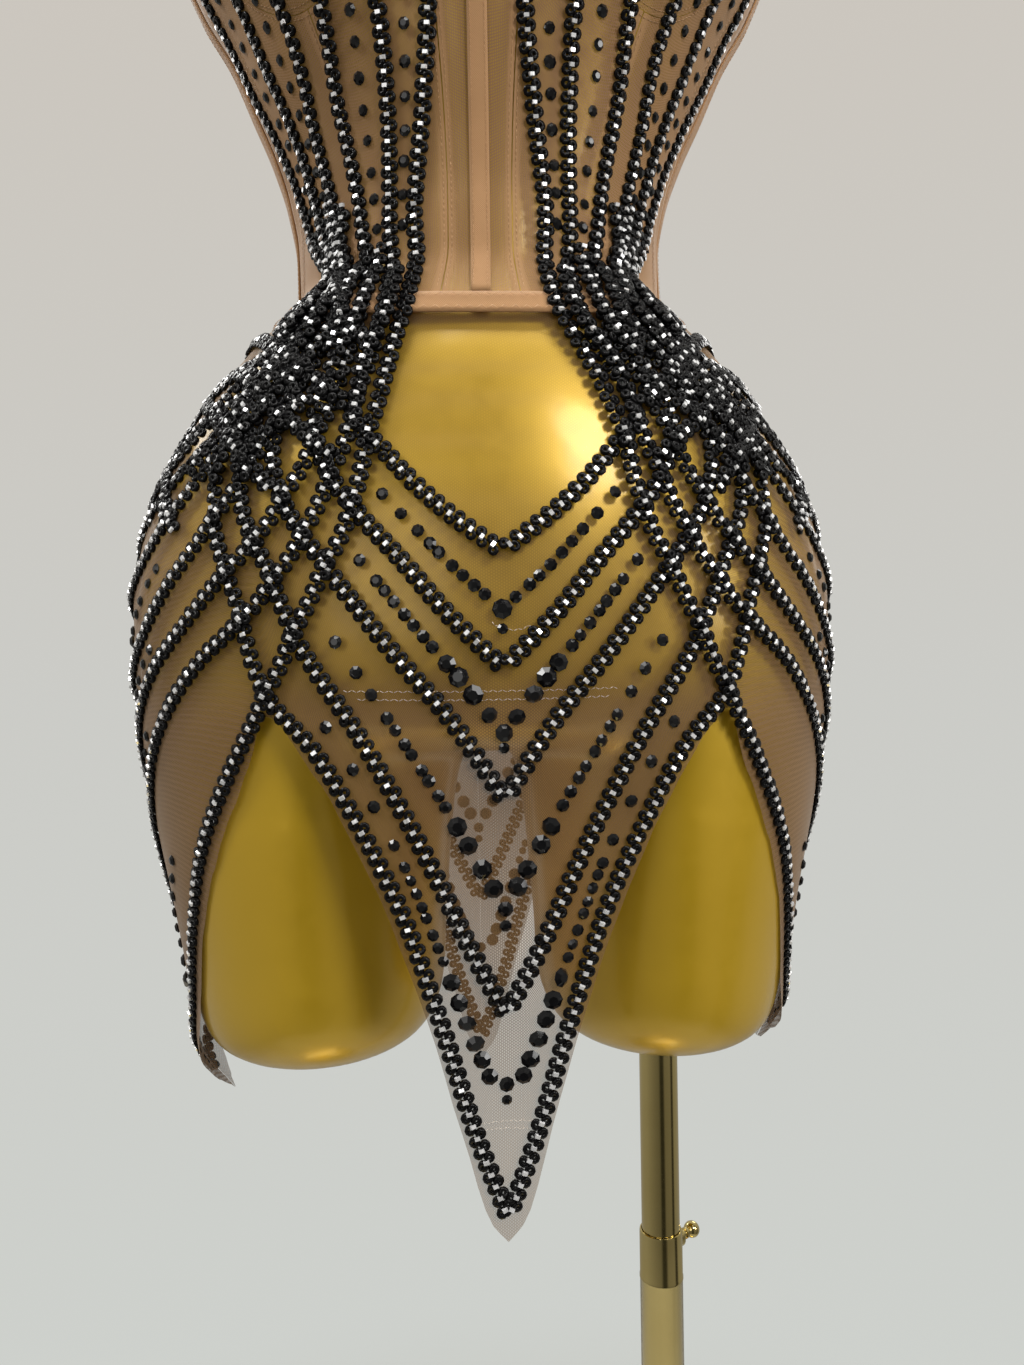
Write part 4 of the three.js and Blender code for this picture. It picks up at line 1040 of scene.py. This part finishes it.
def zip_fastener():
    top = float(neck_at(180)) - 2
    z = np.linspace(ZIP_BOTTOM, top, 90)
    for side, sign in (("right", -1), ("left", 1)):
        across = np.linspace(0.9, ZIP_HALF, 7)[:, None] * sign
        across = across if sign > 0 else across[::-1]
        points = cloth_point(180 + degrees_for(across, z), np.broadcast_to(z, (7, 90)), TAPE_OUT)
        mesh = thickened(laid_grid(f"zip_tape_{side}", points), 0.9)
        finish_piece(f"zip_tape_{side}", mesh, TAPE, "form", ["zip"] if sign > 0 else ())
    bm = bmesh.new()
    bmesh.ops.create_cube(bm, size=1)
    bmesh.ops.bevel(bm, geom=bm.edges[:] + bm.verts[:], offset=0.14, segments=1, profile=0.5, affect="EDGES",
                    material=-1)
    tooth = template(bm)
    run = np.stack([np.full(len(z), 180.0), z, np.zeros(len(z))], 1)
    centre, axes = frames_along(run, 1.25, TAPE_OUT + 0.35)
    shift = np.where(np.arange(len(centre)) % 2, 1, -1)[:, None] * 0.75 * MM
    sizes = np.tile([0.95 * MM, 3.4 * MM, 2.0 * MM], (len(centre), 1))
    mesh = repeated("zip_teeth", tooth, centre + shift * axes[:, 1], axes, sizes)
    finish_piece("zip_teeth", mesh, ZIP_METAL, "form", ["zip"])
    for name in ("zip_slider", "zip_pull"):
        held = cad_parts[name]
        for place in held.material_slots:
            place.material = ZIP_METAL


# ---------- braid and stones ----------
BODICE_FROM = 1062  # the height from which the braid belongs to the bodice's piece
PILED = (985, 1085)  # the heights between which it is piled up, so that fewer crystals show


def braid_pieces():
    """Every braid as two rows of loops, set half a step apart, with a crystal at each step."""
    shape, gem = loop_shape(), crystal_shape()
    loops = {name: [] for name in ("front", "right", "left", "back", "bodice")}
    gems = []
    tilt = math.radians(16)
    runs = []
    for quarter, turned in QUARTERS.items():
        front = quarter.startswith("front")
        for below, way, above in whole_braids(front):
            over = 0.0 if below in (V1, V2, V3, V4, V5) else 1.0 if below else 2.0
            controls = [(*p, 0.0) for p in below] + way
            if above is not None:
                tail = ended_below_neck(above, turned)
                controls += [(*p, 0.0) for p in tail]
            run = smooth_run(controls)
            turned_run = run.copy()
            turned_run[:, 0] = turned(run[:, 0])
            runs.append((quarter, over, turned_run))
    lower = np.concatenate([cloth_point(r[:, 0], r[:, 1], 1.0)[r[:, 1] < 1006] for _, over, r in runs if not over])
    tree = KDTree(len(lower))
    for i, spot in enumerate(lower):
        tree.insert(spot, i)
    tree.balance()
    for quarter, over, run in runs:
        if over:
            spots = cloth_point(run[:, 0], run[:, 1], 1.0)
            near = np.array([tree.find(p)[2] for p in spots]) / MM
            run[:, 2] += 1.9 * np.exp(-(near / 5.5) ** 2) * (1 - smooth(1004, 1030, run[:, 1]))
        for side, phase in ((ROW_OFF, 0.0), (-ROW_OFF, BRAID_PITCH / 2)):
            centre, axes = frames_along(run, BRAID_PITCH, 1.75, side, phase, jitter=0.12)
            lean = tilt * (1 if side > 0 else -1) + chance.normal(0, 0.09, len(centre))
            c, s = np.cos(lean)[:, None], np.sin(lean)[:, None]
            across, outward = axes[:, 1] * c - axes[:, 2] * s, axes[:, 2] * c + axes[:, 1] * s
            nose = chance.normal(0, 0.10, len(centre))[:, None]
            along = axes[:, 0] + outward * nose
            outward = outward - axes[:, 0] * nose
            axes = np.stack([along, across, outward], 1)
            high = centre[:, 2] > BODICE_FROM * MM
            angle = np.degrees(np.arctan2(centre[:, 0], -centre[:, 1]))
            where = np.where(high, "bodice", np.where(np.abs(angle) < 50, "front", np.where(
                np.abs(angle) > 130, "back", np.where(angle > 0, "right", "left"))))
            for name in loops:
                pick = where == name
                if pick.any():
                    loops[name].append((centre[pick], axes[pick]))
        centre, axes = frames_along(run, BRAID_PITCH, 3.05, 0.0, BRAID_PITCH * 0.25, jitter=0.1)
        piled = (centre[:, 2] > PILED[0] * MM) & (centre[:, 2] < PILED[1] * MM)
        shown = ~piled | (chance.random(len(centre)) < (0.62 if over < 1.5 else 0.34))
        centre, axes = centre[shown], axes[shown]
        swing = chance.normal(0, 0.16, (len(centre), 2))
        outward = unit(axes[:, 2] + axes[:, 0] * swing[:, :1] + axes[:, 1] * swing[:, 1:])
        along = unit(np.cross(axes[:, 1], outward))
        gems.append((centre, np.stack([along, np.cross(outward, along), outward], 1)))
    for name, parts in loops.items():
        centre, axes = (np.concatenate(part) for part in zip(*parts))
        finish_piece(f"braid_{name}", repeated(f"braid_{name}", shape, centre, axes), JET, "form", ["braid"])
    centre, axes = (np.concatenate(part) for part in zip(*gems))
    finish_piece("braid_crystals", repeated("braid_crystals", gem, centre, axes, smooth_faces=False), CRYSTAL,
                 "form", ["braid"])


def halfway(first, second):
    a, b = smooth_run(first, 0.1), smooth_run(second, 0.1)
    t = np.linspace(0, 1, 60)
    sample = lambda r: np.stack([np.interp(t, np.linspace(0, 1, len(r)), c) for c in r.T], 1)
    return (sample(a) + sample(b)) / 2


# Chevron rows: the braids on each side, the stones on the centre line as height from the row's point and
# diameter, and those up each arm as distance from the point and diameter.
CHEVRON_ROWS = [
    (V1, V2, [(-8, 4.6), (0, 8.4)], [
        (8, 5.4), (14.3, 5.4), (20.6, 5.5), (27, 5.4), (33.4, 5.5), (40, 5.4), (47, 5.6), (56.5, 5.6), (68, 5.6)]),
    (V2, V3, [(-5.6, 4.6), (0.4, 7.6)], [
        (9.5, 7.0), (20, 8.5), (28.6, 8.4), (36.6, 7.8), (45, 5.5), (50.7, 5.4), (56.4, 5.5), (63.2, 5.4), (69, 5.5),
        (74.7, 5.4), (80.4, 5.5), (90.8, 5.6)]),
    (V3, V4, [(-7, 5.0), (0, 6.5)], [
        (9.8, 8.2), (18.7, 8.2), (29.7, 8.2), (39, 8.0), (48, 5.5), (54, 5.4), (60.4, 5.5), (66.6, 5.4), (73, 5.5),
        (78.6, 5.4), (84.7, 5.5), (90.7, 5.4), (101.7, 5.6), (113.5, 5.8), (128, 5.6)]),
    (V4, V5, [(6.5, 4.6), (13, 6.6)], [
        (18, 7.6), (26, 8.0), (34.5, 8.0), (43.5, 8.0), (53, 8.0), (62, 7.8), (71, 5.0), (77, 5.0), (82.6, 5.0),
        (90, 5.0), (95.5, 5.0), (101, 5.0), (106.5, 5.0), (112, 5.2), (122, 5.2), (140, 5.4), (158, 5.4),
        (177, 5.4)]),
]
# The braids on each side, and the row's length as a share of 100 mm.
SIDE_ROWS = [(S2, S3, 0.55), (S3, S4, 0.62), (S4, S5, 0.62), (S5, S6, 0.6), (S6, S7, 0.66)]
# The braids on each side, the step from one stone to the next, and the stones' diameter.
BODICE_ROWS = [(B1, B2, 13.0, 5.4), (B2, B3, 12.5, 5.2), (B4, B5, 12.5, 5.0), (B5, B6, 12.0, 4.8)]
BODICE_ROW_LENGTH = 190


def stones():
    shape = stone_shape()
    jets, smokes = [], []

    def set_row(run, places, store):
        """Stones at distances along a run that starts at the row's point."""
        angle, z, _ = run.T
        far = length_along(cloth_point(angle, z, NET_OUT))
        for at, size in places:
            if at > far[-1]:
                continue
            base = [np.array([np.interp(max(at, 0), far, column)]) for column in (angle, z)]
            outward = outward_at(*base, 1)[0] + chance.normal(0, 0.17 if 7 < size < 8.3 else 0.06, 3)
            outward = unit(outward)
            spin = chance.uniform(0, math.pi)
            side = unit(np.cross(outward, (math.cos(spin), 0.3, math.sin(spin))))
            centre = cloth_point(*base, NET_OUT + 0.35)[0]
            store.append((centre, np.stack([side, np.cross(outward, side), outward]), size / 2 * MM))

    for quarter, turned in QUARTERS.items():
        sign = 1 if quarter.endswith("right") else -1
        for first, second, middle, places in CHEVRON_ROWS:
            run = halfway(first, second)
            run[:, 0] = turned(run[:, 0])
            set_row(run, [(at + chance.normal(0, 0.4), size * chance.uniform(0.95, 1.05)) for at, size in places], jets)
            if sign > 0:
                upright = np.array([[float(turned(0)), run[0, 1] + rise, 0] for rise in (-10, 20)])
                set_row(upright, [(rise + 10, size) for rise, size in middle], jets)
        for first, second, share in SIDE_ROWS:
            run = halfway(first, second)
            run[:, 0] = turned(run[:, 0])
            reach = 100 * share
            at = np.arange(9.0 if sign < 0 else 2.0, reach + 30, 10.5)
            set_row(run, [(a + chance.normal(0, 0.7), 5.2 if a > 22 else 6.6) for a in at if a < reach + 18], jets)
            set_row(run, [(0.0, 9.0), (4.6, 6.0)] if sign > 0 else [(5.4, 8.0)], smokes)
        front = quarter.startswith("front")
        for first, second, pitch, size in BODICE_ROWS:
            if not front and (first, second) != (B1, B2) and (first, second) != (B2, B3):
                continue
            run = halfway(ended_below_neck(first, turned), ended_below_neck(second, turned))
            run[:, 0] = turned(run[:, 0])
            set_row(run, [(a + chance.normal(0, 0.6), size * chance.uniform(0.92, 1.08))
                          for a in np.arange(10, BODICE_ROW_LENGTH, pitch)], jets)
    for name, finish, store in (("stones_jet", JET_STONE, jets), ("stones_smoke", SMOKE_STONE, smokes)):
        centre, axes, size = (np.array([s[i] for s in store]) for i in range(3))
        mesh = repeated(name, shape, centre, axes, np.repeat(size[:, None], 3, 1), smooth_faces=False)
        finish_piece(name, mesh, finish, "form")


look_setup()
dress_form()
stand()
net()
tapes()
sewing()
zip_fastener()
braid_pieces()
stones()
